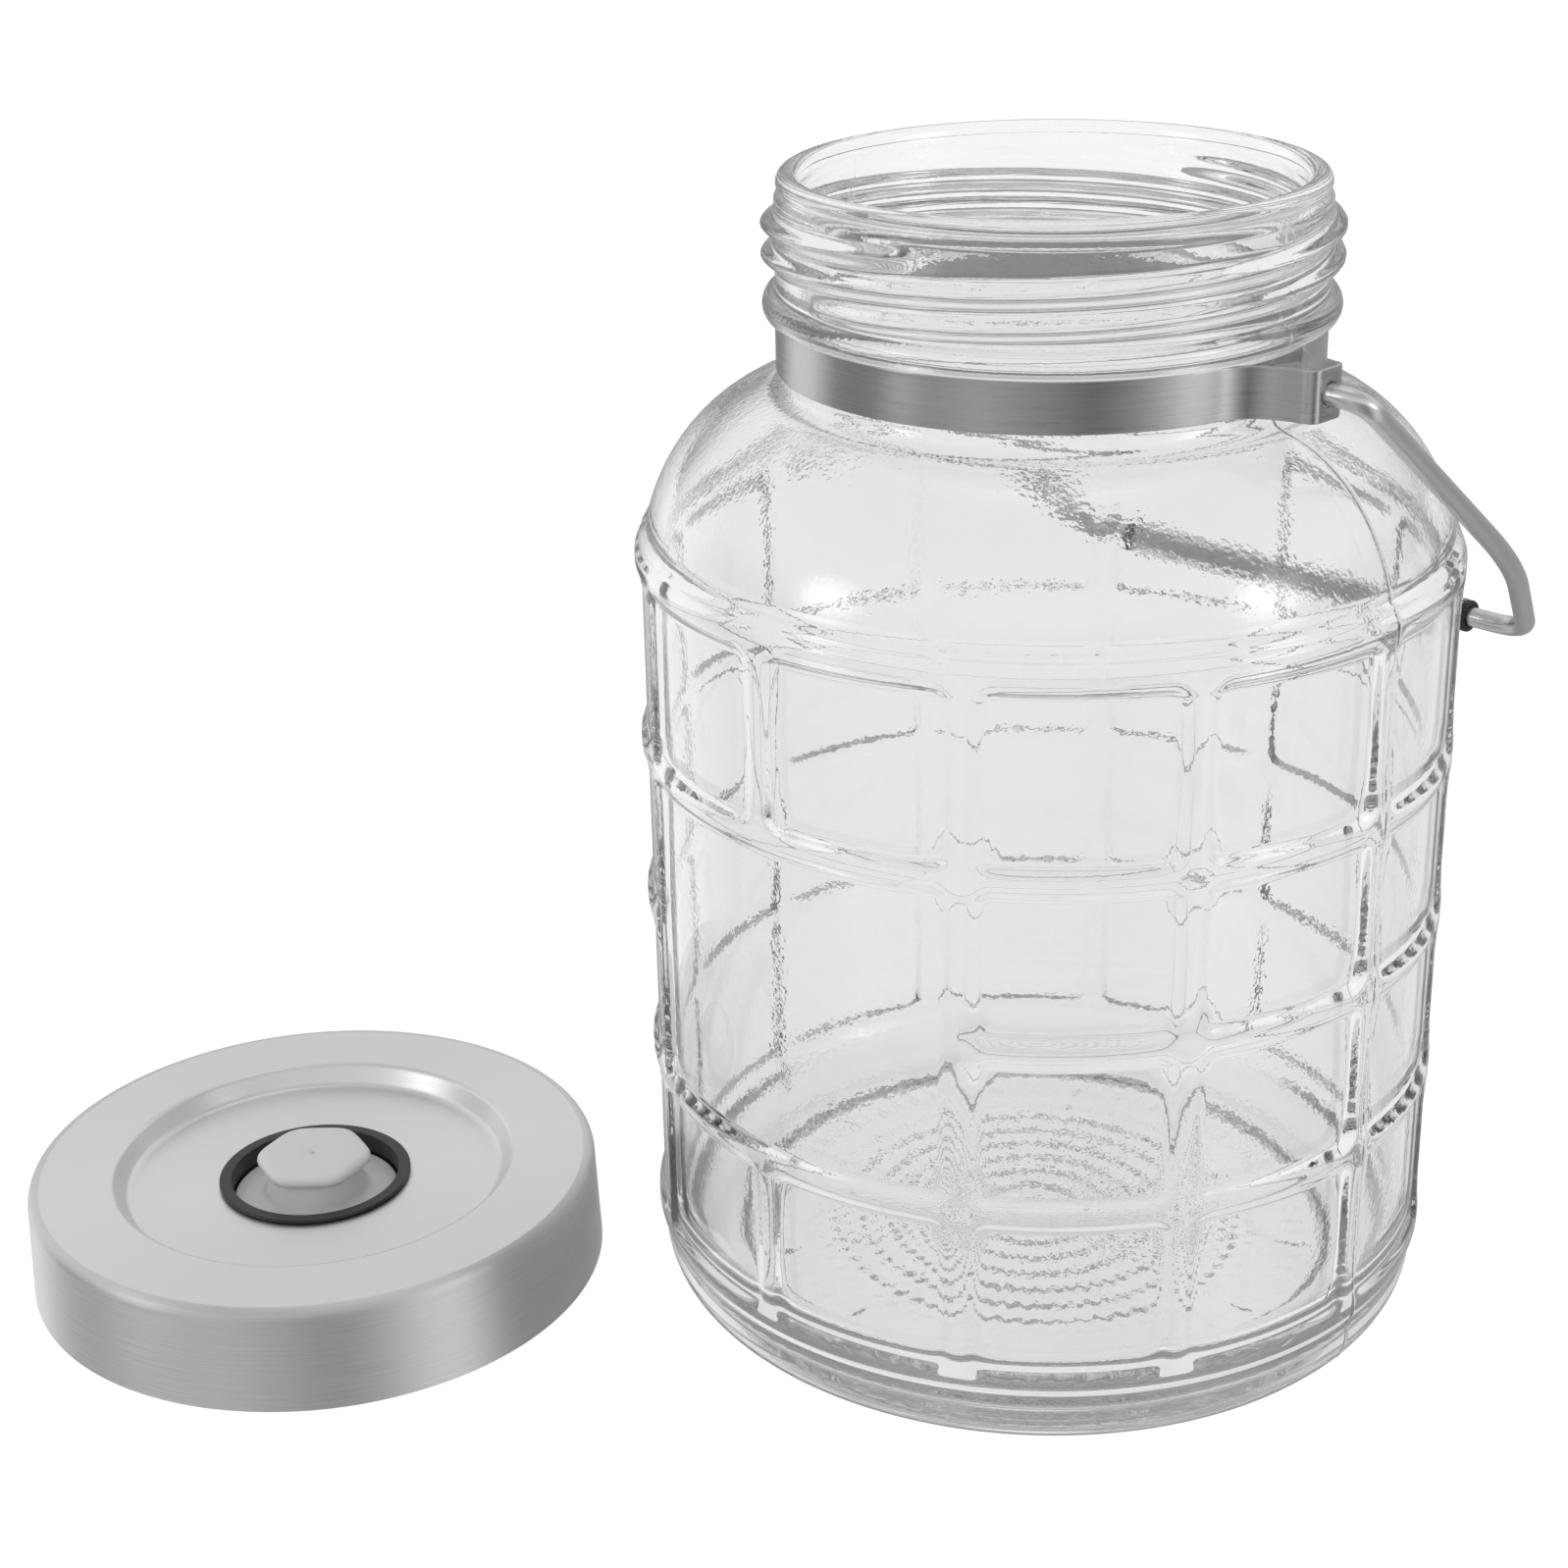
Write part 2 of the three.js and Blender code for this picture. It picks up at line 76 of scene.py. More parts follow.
# Where the jar's relief stands: heights and widths in millimetres, bearings and turns in degrees
HOOPS_MM = (16.6, 54.5, 89.8, 124.9, 164.4)
UPRIGHT_PITCH = 30
FIRST_UPRIGHT = 20
PANEL_BEARINGS = (-70, -10)
PANEL_HEIGHTS_MM = (54.5, 124.9)
THREAD_FOOT_MM = 219.3
THREAD_STARTS = (-55, 125)
THREAD_SWEEP = 388
THREAD_FADE = 24
SEAM_BEARINGS = (51.4, 231.4)
SEAM_WIDTH_MM = 0.3

# Pattern pressed into the underside: distance from ring to ring, and the waves and bars in one turn
BASE_PITCH_MM = 6.2
BASE_WAVES = 66
BASE_BARS = 72

# Light is caught inside thick glass for many reflections before it comes out
LIGHT_BOUNCES = 40

# Light left after x metres inside the glass is exp(-5.2 x)
GLASS_ABSORPTION = 5.2

# How far a material's roughness strays to either side of its middle
ROUGHNESS_SPREAD = 0.06

# Brightness of the surround round the jar. A place is (90 + bearing) / 360, and 1 meets 0 again.
SURROUND_STOPS = (
    (0.0, 0.38), (0.061, 0.4), (0.17, 0.82), (0.25, 0.48), (0.305, 0.2), (0.35, 0.5), (0.41, 1.3),
    (0.44, 1.05), (0.5, 0.42), (0.611, 0.6), (0.7, 0.55), (0.84, 0.38), (0.885, 1.5), (0.93, 1.5),
    (0.975, 0.42),
)


def linear(colour):
    """An sRGB hex colour as linear red, green and blue."""
    channels = [int(colour[i:i + 2], 16) / 255 for i in (1, 3, 5)]
    return tuple(c / 12.92 if c <= 0.04045 else ((c + 0.055) / 1.055) ** 2.4 for c in channels)


def length(name, description, millimetres):
    """A length property, given in millimetres and kept in metres."""
    return FloatProperty(name=name, description=description, default=millimetres * MM, unit="LENGTH",
                         precision=5)


def angle(name, description, degrees):
    return FloatProperty(name=name, description=description, default=degrees * DEGREE, subtype="ANGLE")


def colour(name, description, value):
    return FloatVectorProperty(name=name, description=description, default=linear(value), subtype="COLOR",
                               min=0, max=1)


class JarSettings(PropertyGroup):
    """Sizes and colour of the glass."""

    body_radius: length("Body radius", "Outside radius of the wall between the ribs", 82.5)
    wall: length("Wall", "Thickness of the glass in the body", 4.2)
    rib_height: length("Hoop height", "How far the hoops stand out of the wall", 1.3)
    upright_height: length("Upright height", "How far the upright ribs stand out of the wall", 0.85)
    rib_half: length("Rib half width", "Half the width of a rib at its foot", 3.3)
    rib_flank: length("Rib flank", "Width of the rounded side of a rib", 2.8)
    cell_corner: length("Cell corner", "Corner radius of the plain cells between the ribs", 2.8)
    thread_height: length("Thread height", "How far the thread stands out of the neck", 2.7)
    thread_half: length("Thread half width", "Half the width of the thread at its foot", 2.9)
    thread_lead: length("Thread lead", "Climb of each thread in one turn", 11.9)
    seam_height: length("Seam height", "How far the mould's parting line stands out", 0.33)
    ring_relief: length("Base relief", "Depth of the pressed rings under the base", 0.6)
    tint: colour("Glass", "Tint of the clear glass", "#f1f1f1")


class BandSettings(PropertyGroup):
    """Sizes and colour of the neck band."""

    neck_radius: length("Neck radius", "Outside radius of the neck under the band", 53.1)
    clearance: length("Clearance", "Gap between the neck and the band", 0.3)
    thickness: length("Thickness", "Thickness of the strap", 0.9)
    edge: length("Edge rounding", "Rounding of the strap's edges", 0.25)
    reach: length("Loop reach", "Distance of a loop's end face from the jar's axis", 67)
    half_width: length("Loop half width", "Half the outside width of a loop", 4.9)
    corner: length("Loop corner", "Rounding of a loop's outer corners", 2.2)
    hole: length("Pivot hole", "Radius of the hole for the wire", 2.6)
    flare: angle("Loop flare", "Angle either side of the loop where the strap leaves the neck", 15)
    bearing: angle("Loop bearing", "Bearing of the loop at the front right", 50)
    steel: colour("Band steel", "Colour of the brushed strap", "#b9babb")


class HandleSettings(PropertyGroup):
    """Sizes and colours of the wire handle and its grip."""

    wire: length("Wire radius", "Radius of the handle's wire", 2.15)
    hang: angle("Hang", "Slope of the hanging handle below the horizontal", 38.8)
    end: length("Wire end", "Distance of a wire's head from the jar's axis", 62)
    shank: length("Shank", "Distance of the first bend from the jar's axis", 74.3)
    elbow: length("Elbow", "Distance of the elbow from the jar's axis", 74.8)
    elbow_drop: length("Elbow drop", "Distance of the elbow from the pivot, down the handle", 71.8)
    corner: length("Corner", "Distance of the grip bar's corner from the handle's middle", 60)
    grip: length("Grip ring", "Distance of the grip's end rings from the handle's middle", 45.4)
    head: length("Head radius", "Radius of the head inside the loop", 3.4)
    steel: colour("Wire steel", "Colour of the drawn wire", "#d0d1d2")
    rubber: colour("Ring rubber", "Colour of the grip's end rings", "#161617")
    sleeve: colour("Sleeve", "Tint of the clear sleeve", "#f2f4f4")


class LidSettings(PropertyGroup):
    """Sizes and colours of the lid."""

    height: length("Height", "Height of the lid", 24)
    bottom_radius: length("Skirt radius", "Outside radius at the skirt's lower edge", 63.1)
    top_radius: length("Top radius", "Outside radius just under the top", 62.2)
    corner: length("Edge radius", "Rounding between the side and the top", 2.4)
    recess_radius: length("Recess radius", "Radius of the recess at the top", 43.9)
    recess_floor: length("Recess floor", "Radius of the recess at its floor", 41.2)
    recess_depth: length("Recess depth", "Depth of the recess", 4.5)
    sheet: length("Sheet", "Thickness of the steel sheet", 0.8)
    collar: length("Collar", "Outside radius of the black collar's lip", 21.1)
    well: length("Well", "Inside radius of the black collar", 18.4)
    cap: length("Cap", "Distance of the valve cap's corners from its middle", 13.6)
    steel: colour("Lid steel", "Colour of the brushed shell", "#dfe0e1")
    plastic: colour("Liner", "Colour of the moulded liner", "#1b1b1c")
    silicone: colour("Silicone", "Colour of the valve and the gasket", "#dcdddc")


class StageSettings(PropertyGroup):
    """Floor and light."""

    floor: colour("Floor", "Colour of the floor", "#585858")
    glow: FloatProperty(name="Floor glow", description="Light given by the floor, as a light table",
                        default=0.99, min=0)
    sky: FloatProperty(name="Surround", description="Brightness of the white surround", default=0.8, min=0)
    key: FloatProperty(name="Soft boxes", description="Power of each soft box in watts", default=3.2, min=0)


def arc(centre, across, up, start, end, steps):
    """Ellipse's arc: centre + (across cos a, up sin a), a running from start to end in degrees."""
    a = np.radians(np.linspace(start, end, steps + 1))
    return np.column_stack([centre[0] + across * np.cos(a), centre[1] + up * np.sin(a)])


def line(start, end, steps):
    """Evenly spaced points from start to end."""
    return np.linspace(start, end, steps + 1)


def rounded(corners, radii, closed, steps=5):
    """A line through corners, each cut back by its radius and bridged by the quadratic curve
    (1-t)(1-t) a + 2t(1-t) corner + t t b between its two tangent points a and b."""
    corner = np.asarray(corners, float)
    cut = np.broadcast_to(np.asarray(radii, float), len(corner)).copy()
    if not closed:
        cut[[0, -1]] = 0
    before = np.roll(corner, 1, axis=0) - corner
    after = np.roll(corner, -1, axis=0) - corner
    a = corner + before / np.linalg.norm(before, axis=1, keepdims=True) * cut[:, None]
    b = corner + after / np.linalg.norm(after, axis=1, keepdims=True) * cut[:, None]
    t = np.linspace(0, 1, steps + 1)[None, :, None]
    curve = (1 - t) ** 2 * a[:, None] + 2 * t * (1 - t) * corner[:, None] + t ** 2 * b[:, None]
    return curve.reshape(-1, corner.shape[1])


def travelled(points, closed):
    """Distance along a line of points, from its first point; a closed line gets its full length added."""
    steps = np.linalg.norm(np.diff(points, axis=0), axis=1)
    if closed:
        steps = np.append(steps, np.linalg.norm(points[0] - points[-1]))
    return np.concatenate([[0], np.cumsum(steps)])


def add_piece(name, points, around, along, closed_rows, material, body, stands_for, attributes=None):
    """A surface of quads over points[row, column]. Columns always close on themselves. around has one
    more value than there are columns and along one for each row line, both in metres: they are the UV
    map. Rows whose points coincide close a pole. Returns the finished piece."""
    rows, columns = points.shape[:2]
    bands = rows if closed_rows else rows - 1
    row = np.repeat(np.arange(bands), columns)
    column = np.tile(np.arange(columns), bands)
    next_row = (row + 1) % rows
    next_column = (column + 1) % columns
    faces = np.column_stack([
        row * columns + column, row * columns + next_column,
        next_row * columns + next_column, next_row * columns + column,
    ])
    mesh = bpy.data.meshes.new(name)
    mesh.from_pydata(points.reshape(-1, 3), [], faces)
    layer = mesh.uv_layers.new(name="surface")
    u = np.column_stack([around[column], around[column + 1], around[column + 1], around[column]])
    v = np.column_stack([along[row], along[row], along[row + 1], along[row + 1]])
    layer.data.foreach_set("uv", np.stack([u, v], axis=-1).astype(np.float32).ravel())
    for key, values in (attributes or {}).items():
        added = mesh.attributes.new(key, "FLOAT", "POINT")
        added.data.foreach_set("value", values.astype(np.float32).ravel())
    edit = bmesh.new()
    edit.from_mesh(mesh)
    bmesh.ops.remove_doubles(edit, verts=edit.verts, dist=1e-6)
    bmesh.ops.recalc_face_normals(edit, faces=edit.faces)
    edit.to_mesh(mesh)
    edit.free()
    mesh.polygons.foreach_set("use_smooth", [True] * len(mesh.polygons))
    mesh.materials.append(material)
    piece = bpy.data.objects.new(name, mesh)
    bpy.context.scene.collection.objects.link(piece)
    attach(piece, body)
    if stands_for:
        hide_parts(*stands_for)
    return piece


def keep_flats_flat(piece):
    """Weights the shading by face area, so flat faces stay flat beside their rounded edges."""
    weights = piece.modifiers.new("flat faces", "WEIGHTED_NORMAL")
    weights.mode = "FACE_AREA"
    weights.weight = 100


def revolve(profile, centre, columns):
    """Surface of revolution: profile (radius, height) turned about the vertical through centre."""
    turn = np.linspace(0, 2 * np.pi, columns, endpoint=False)
    radius = profile[:, :1]
    return np.stack([
        centre[0] + radius * np.cos(turn),
        centre[1] + radius * np.sin(turn),
        np.broadcast_to(profile[:, 1:], (len(profile), columns)),
    ], axis=-1)


def add_revolved(name, profile, centre, columns, closed, material, body, stands_for):
    """A revolved piece with a UV map of arc length: around the widest circle, and along the profile."""
    around = np.linspace(0, 2 * np.pi, columns + 1) * profile[:, 0].max()
    along = travelled(profile, closed)
    points = revolve(profile, centre, columns)
    piece = add_piece(name, points, around, along, closed, material, body, stands_for)
    keep_flats_flat(piece)
    return piece


def node(tree, kind, inputs=None, **settings):
    """Adds one node, sets its settings, and fills its inputs with values or with other nodes' sockets."""
    made = tree.nodes.new(kind)
    for key, value in settings.items():
        setattr(made, key, value)
    for key, value in (inputs or {}).items():
        if isinstance(value, bpy.types.NodeSocket):
            tree.links.new(value, made.inputs[key])
        else:
            made.inputs[key].default_value = value
    return made


def new_material(name, **values):
    """A material with a single Principled shader, its constant values set on its own sockets."""
    material = bpy.data.materials.new(name)
    material.use_nodes = True
    tree = material.node_tree
    shader = tree.nodes["Principled BSDF"]
    for key, value in values.items():
        shader.inputs[key.replace("_", " ")].default_value = value
    return material, tree, shader


def rgba(value):
    return (*value, 1)


def soda_lime_glass(tint):
    """Pressed soda-lime glass: clear, index 1.52. The plunger leaves the inside faintly orange-peeled, which
    breaks up the edges of what is seen through it; the blown outside is smooth. The glass takes a little
    light from long paths inside it, which greys the edges and the ribs at the sides."""
    material, tree, shader = new_material(
        "pressed soda-lime glass", Base_Color=rgba(tint), Roughness=0.0, IOR=1.52, Transmission_Weight=1.0)
    place = node(tree, "ShaderNodeTexCoord").outputs["Object"]
    peel_size_mm = 1.2
    patch_size_mm = 60
    peel = node(tree, "ShaderNodeTexNoise",
                {"Vector": place, "Scale": 1 / (peel_size_mm * MM), "Detail": 1.5})
    patch = node(tree, "ShaderNodeTexNoise",
                 {"Vector": place, "Scale": 1 / (patch_size_mm * MM), "Detail": 2.0})
    where = node(tree, "ShaderNodeMapRange", {"Value": patch.outputs["Fac"], "From Min": 0.42,
                                              "From Max": 0.62, "To Min": 0.25, "To Max": 1.0})
    inside = node(tree, "ShaderNodeAttribute", attribute_name="inside")
    depth = node(tree, "ShaderNodeMath", {0: where.outputs["Result"], 1: inside.outputs["Fac"]},
                 operation="MULTIPLY")
    height = node(tree, "ShaderNodeMath", {0: peel.outputs["Fac"], 1: depth.outputs["Value"]},
                  operation="MULTIPLY")
    bump = node(tree, "ShaderNodeBump", {"Height": height.outputs["Value"], "Strength": 1.0,
                                         "Distance": 0.055 * MM})
    tree.links.new(bump.outputs["Normal"], shader.inputs["Normal"])
    absorption = node(tree, "ShaderNodeVolumeAbsorption",
                      {"Color": (0, 0, 0, 1), "Density": GLASS_ABSORPTION})
    tree.links.new(absorption.outputs["Volume"], tree.nodes["Material Output"].inputs["Volume"])
    return material


def brushed_steel(name, tint, roughness, stretch, grain_mm, streak_mm, contrast):
    """Brushed stainless steel: abrasive lines run along the surface's U, so highlights stretch across them,
    and single deeper lines show as pale and dark streaks. The real grain of about 0.05 mm is too fine to
    show, so it is drawn as coarse as grain_mm."""
    material, tree, shader = new_material(name, Metallic=1.0, Anisotropic=stretch, Anisotropic_Rotation=0.25)
    place = node(tree, "ShaderNodeUVMap", uv_map="surface").outputs["UV"]
    lines = node(tree, "ShaderNodeMapping", {"Vector": place,
                                             "Scale": (1 / (streak_mm * MM), 1 / (grain_mm * MM), 1)})
    grain = node(tree, "ShaderNodeTexNoise", {"Vector": lines.outputs["Vector"], "Scale": 1.0, "Detail": 3.0,
                                              "Roughness": 0.7})
    dark, pale = (tuple(channel * share for channel in tint) for share in (1 - contrast, 1 + 0.7 * contrast))
    shade = node(tree, "ShaderNodeMix", {"Factor": grain.outputs["Fac"], "A": rgba(dark), "B": rgba(pale)},
                 data_type="RGBA")
    tree.links.new(shade.outputs["Result"], shader.inputs["Base Color"])
    finish = node(tree, "ShaderNodeMapRange",
                  {"Value": grain.outputs["Fac"], "From Min": 0.3, "From Max": 0.7,
                   "To Min": roughness - ROUGHNESS_SPREAD, "To Max": roughness + ROUGHNESS_SPREAD})
    tree.links.new(finish.outputs["Result"], shader.inputs["Roughness"])
    bump = node(tree, "ShaderNodeBump", {"Height": grain.outputs["Fac"], "Strength": 0.35,
                                         "Distance": 0.02 * MM})
    tree.links.new(bump.outputs["Normal"], shader.inputs["Normal"])
    along = node(tree, "ShaderNodeTangent", direction_type="UV_MAP", uv_map="surface")
    tree.links.new(along.outputs["Tangent"], shader.inputs["Tangent"])
    return material


def drawn_wire(tint):
    """Drawn stainless wire: bright, with faint die lines along its length."""
    material, tree, shader = new_material(
        "drawn stainless wire", Base_Color=rgba(tint), Metallic=1.0, Anisotropic=0.35)
    place = node(tree, "ShaderNodeUVMap", uv_map="surface").outputs["UV"]
    lines = node(tree, "ShaderNodeMapping", {"Vector": place, "Scale": (1 / (0.4 * MM), 1 / (14 * MM), 1)})
    marks = node(tree, "ShaderNodeTexNoise", {"Vector": lines.outputs["Vector"], "Scale": 1.0, "Detail": 2.0})
    finish = node(tree, "ShaderNodeMapRange", {"Value": marks.outputs["Fac"], "To Min": 0.26, "To Max": 0.36})
    tree.links.new(finish.outputs["Result"], shader.inputs["Roughness"])
    return material


def moulded(name, tint, roughness, grain_mm, depth_mm, **extra):
    """A moulded polymer: a fine even tooth from the mould dulls the highlight a little."""
    material, tree, shader = new_material(name, Base_Color=rgba(tint), **extra)
    place = node(tree, "ShaderNodeTexCoord").outputs["Object"]
    tooth = node(tree, "ShaderNodeTexNoise", {"Vector": place, "Scale": 1 / (grain_mm * MM), "Detail": 2.0})
    finish = node(tree, "ShaderNodeMapRange",
                  {"Value": tooth.outputs["Fac"], "To Min": roughness - ROUGHNESS_SPREAD,
                   "To Max": roughness + ROUGHNESS_SPREAD})
    bump = node(tree, "ShaderNodeBump", {"Height": tooth.outputs["Fac"], "Strength": 0.4,
                                         "Distance": depth_mm * MM})
    tree.links.new(finish.outputs["Result"], shader.inputs["Roughness"])
    tree.links.new(bump.outputs["Normal"], shader.inputs["Normal"])
    return material


def jar_columns(settings):
    """Bearings of the columns: close together over each upright rib and at the two seams, wider between."""
    per_mm = 1 / (settings.body_radius / MM * DEGREE)
    half = np.array([0, 0.7, 1.4, 2.1, 2.8, 3.5, 4.4, 5.5]) * per_mm
    between = np.linspace(half[-1], UPRIGHT_PITCH / 2, 9)[1:]
    side = np.concatenate([half, between])
    sector = np.concatenate([-side[-2:0:-1], side])
    uprights = np.arange(FIRST_UPRIGHT, FIRST_UPRIGHT + 360, UPRIGHT_PITCH)[:, None] + sector
    seams = np.array(SEAM_BEARINGS)[:, None] + np.array([-0.75, -0.4, -0.2, 0, 0.2, 0.4, 0.75]) * per_mm
    columns = np.concatenate([uprights.ravel(), seams.ravel()])
    columns = np.unique(np.round(np.mod(columns, 360), 5))
    nearest_mm = 0.12
    apart = np.diff(columns, append=columns[0] + 360) > nearest_mm * per_mm
    return columns[apart]


def jar_outside(settings):
    """Outer profile in millimetres from the middle of the underside to the top of the rim."""
    body = settings.body_radius / MM
    rows = [line((0, 3), (50, 3), 47), line((51, 3), (63, 3), 7), line((64, 2.4), (66, 0.4), 3),
            line((67, 0.05), (74.5, 0), 3)]
    rows.append(arc((body - 8, 10), 8, 10, -82, 0, 9))
    across = np.array([-4.2, -3.4, -2.6, -1.8, -0.9, 0, 0.9, 1.8, 2.6, 3.4, 4.2])
    for low, high in zip(HOOPS_MM, HOOPS_MM[1:] + (None,)):
        heights = low + across
        if high:
            heights = np.concatenate([heights, np.linspace(low + 4.2, high - 4.2, 6)[1:-1]])
        rows.append(np.column_stack([np.full(len(heights), body), heights]))
    rows.append(arc((50, 160), body - 50, 37.8, 14, 78, 15))
    neck = [(54.4, 198.0), (53.6, 199.1), (53.2, 200.6), (53.1, 203), (53.1, 210.4), (53.5, 211.1)]
    rows.append(np.array(neck))
    rows.append(arc((54.2, 214.4), 2.6, 2.9, -78, 84, 8))
    rows.append(line((54.2, 218), (54.2, 235), 25))
    rows.append(arc((51.9, 237.9), 1.9, 2.1, -40, 90, 7))
    return np.concatenate(rows)


def jar_inside(settings):
    """Inner profile in millimetres from the top of the rim to the middle of the floor."""
    bore = (settings.body_radius - settings.wall) / MM
    rows = [arc((51, 237.9), 1.6, 2.1, 100, 180, 5), line((49.4, 232), (49.4, 199), 9)]
    rows.append(arc((46, 160), bore - 46, 35.5, 82, 0, 14))
    rows.append(line((bore, 150), (bore, 30), 8))
    rows.append(arc((bore - 14, 24), 14, 14, 0, -90, 10))
    rows.append(line((60, 10), (0, 10), 8))
    return np.concatenate(rows)


def turn_between(bearing, centre):
    """Signed turn from centre to bearing, -180 to 180 degrees."""
    return np.mod(bearing - centre + 180, 360) - 180


def rib_relief(bearing, height, settings):
    """Height of the ribs: each plain cell is a rectangle with rounded corners, and the glass rises by a
    quarter sine over the flank's width as it leaves the cell, less high on the uprights. For a point a
    and b inside the cell's sides, the signed distance to the rectangle of corner radius c is the length
    of the positive part of (c-a, c-b), plus min(max(c-a, c-b), 0), less c."""
    per_degree = settings.body_radius / MM * DEGREE
    hoops = np.array(HOOPS_MM)
    upright = np.abs(turn_between(np.mod(bearing - FIRST_UPRIGHT, UPRIGHT_PITCH) * 360 / UPRIGHT_PITCH, 0))
    across = upright * UPRIGHT_PITCH / 360 * per_degree
    across = np.where((height > hoops[0]) & (height < hoops[-1]), across, 999)
    up = np.abs(height[..., None] - hoops).min(axis=-1)
    low, high = PANEL_HEIGHTS_MM
    turn = turn_between(bearing, sum(PANEL_BEARINGS) / 2)
    reach = (PANEL_BEARINGS[1] - PANEL_BEARINGS[0]) / 2
    blank = (np.abs(turn) < reach) & (height > low) & (height < high)
    across = np.where(blank, (reach - np.abs(turn)) * per_degree, across)
    up = np.where(blank, np.minimum(height - low, high - height), up)
    half, c = settings.rib_half / MM, settings.cell_corner / MM
    qx, qy = c - (across - half), c - (up - half)
    distance = np.hypot(np.maximum(qx, 0), np.maximum(qy, 0)) + np.minimum(np.maximum(qx, qy), 0) - c
    rise = np.sin(np.clip(distance / (settings.rib_flank / MM), 0, 1) * np.pi / 2)
    hoop_reach_mm, blend_mm = 6, 3.5
    near_hoop = np.clip((hoop_reach_mm - up) / blend_mm, 0, 1)
    tall = settings.upright_height + (settings.rib_height - settings.upright_height) * near_hoop
    return tall / MM * rise


def thread_relief(bearing, height, settings):
    """Height of the two-start thread: cosine squared across each ridge, whose middle climbs by the lead in
    each turn, and a smooth fade at both of its ends."""
    relief = np.zeros(np.broadcast(bearing, height).shape)
    for start in THREAD_STARTS:
        for lap in (0, 360):
            travel = np.mod(bearing - start, 360) + lap
            middle = THREAD_FOOT_MM + settings.thread_lead / MM * travel / 360
            across = (height - middle) / (settings.thread_half / MM)
            ends = np.clip(np.minimum(travel, THREAD_SWEEP - travel) / THREAD_FADE, 0, 1)
            ridge = np.cos(np.clip(across, -1, 1) * np.pi / 2) ** 2 * np.sin(ends * np.pi / 2)
            relief = np.maximum(relief, settings.thread_height / MM * ridge)
    return relief


def base_relief(bearing, radius, settings):
    """Height of what is pressed into the underside: scalloped rings in the middle,
    (0.5 + 0.5 cos(2 pi r / pitch + wave)) squared, then a plain ring, then short radial bars."""
    wave = 0.9 * np.sin(BASE_WAVES * bearing * DEGREE) * np.clip(radius / 20, 0, 1)
    rings = (0.5 + 0.5 * np.cos(2 * np.pi * radius / BASE_PITCH_MM + wave)) ** 2
    middle = np.clip((50 - radius) / 3, 0, 1)
    bars = np.clip(2.5 * np.cos(BASE_BARS * bearing * DEGREE) - 0.6, 0, 1)
    belt = np.clip((radius - 54) / 1.5, 0, 1) * np.clip((61 - radius) / 1.5, 0, 1)
    return settings.ring_relief / MM * np.maximum(rings * middle, 0.5 * bars * belt)


def jar_points(settings):
    """The jar's whole surface: profile points turned to every column, with the relief added outwards, and
    downwards under the base."""
    columns = jar_columns(settings)
    outside, inside = jar_outside(settings), jar_inside(settings)
    profile = np.concatenate([outside, inside])
    bearing = np.broadcast_to(columns, (len(profile), len(columns)))
    radius = np.repeat(profile[:, :1], len(columns), axis=1)
    height = np.repeat(profile[:, 1:], len(columns), axis=1)
    is_outside = (np.arange(len(profile)) < len(outside))[:, None]
    wall = is_outside & (height > 10) & (height < 172)
    neck = is_outside & (height > 216) & (height < 238)
    under = is_outside & (height < 3.1) & (radius < 66)
    seam = sum(np.exp(-(turn_between(bearing, at) * radius * DEGREE / SEAM_WIDTH_MM) ** 2)
               for at in SEAM_BEARINGS)
    # The parting line stops short of foot and rim, and is a quarter as high above the band
    seam = seam * np.where(is_outside & (height > 4) & (height < 236), 1 - 0.75 * (height > 210), 0)
    grown = radius + np.where(wall, rib_relief(bearing, height, settings), 0)
    grown = grown + np.where(neck, thread_relief(bearing, height, settings), 0)
    grown = grown + seam * settings.seam_height / MM
    sunk = height - np.where(under, base_relief(bearing, radius, settings), 0)
    turn = bearing * DEGREE
    points = np.stack([grown * np.sin(turn), -grown * np.cos(turn), sunk], axis=-1) * MM
    points += np.array([JAR_AXIS.x, JAR_AXIS.y, 0])
    # The orange peel: half strength on the ribbed wall, full from the shoulder up, none on the floor
    peel = np.clip((height - 12) / 10, 0, 0.5) + np.clip((height - 150) / 20, 0, 0.5)
    return points, columns, profile * MM, np.where(is_outside, 0, peel)


class JAR_OT_glass(Operator):
    """Makes the jar: one closed wall of glass with ribs, thread, bead, seams and pressed base"""

    bl_idname = "jar.glass"
    bl_label = "Glass jar"

    def execute(self, context):
        settings = context.scene.jar_glass
        points, columns, profile, inner = jar_points(settings)
        around = np.append(columns, columns[0] + 360) * DEGREE * settings.body_radius
        along = travelled(profile, False)
        add_piece("jar_wall", points, around, along, False, soda_lime_glass(settings.tint), JAR_BODY,
                  ["jar_glass"], {"inside": inner})
        return {"FINISHED"}


def turned(points, bearing):
    """Plan points turned so that +X points to the bearing, and moved to the jar's axis."""
    a = bearing - math.pi / 2
    x, y = points[..., 0], points[..., 1]
    return np.stack([JAR_AXIS.x + x * math.cos(a) - y * math.sin(a),
                     JAR_AXIS.y + x * math.sin(a) + y * math.cos(a)], axis=-1)


def curve(points, steps):
    """Bezier curve of any degree by repeated mixing of neighbouring control points."""
    t = np.linspace(0, 1, steps + 1)[:, None, None]
    mixed = np.broadcast_to(np.asarray(points, float), (steps + 1, len(points), 2))
    while mixed.shape[1] > 1:
        mixed = (1 - t) * mixed[:, :-1] + t * mixed[:, 1:]
    return mixed[:, 0]


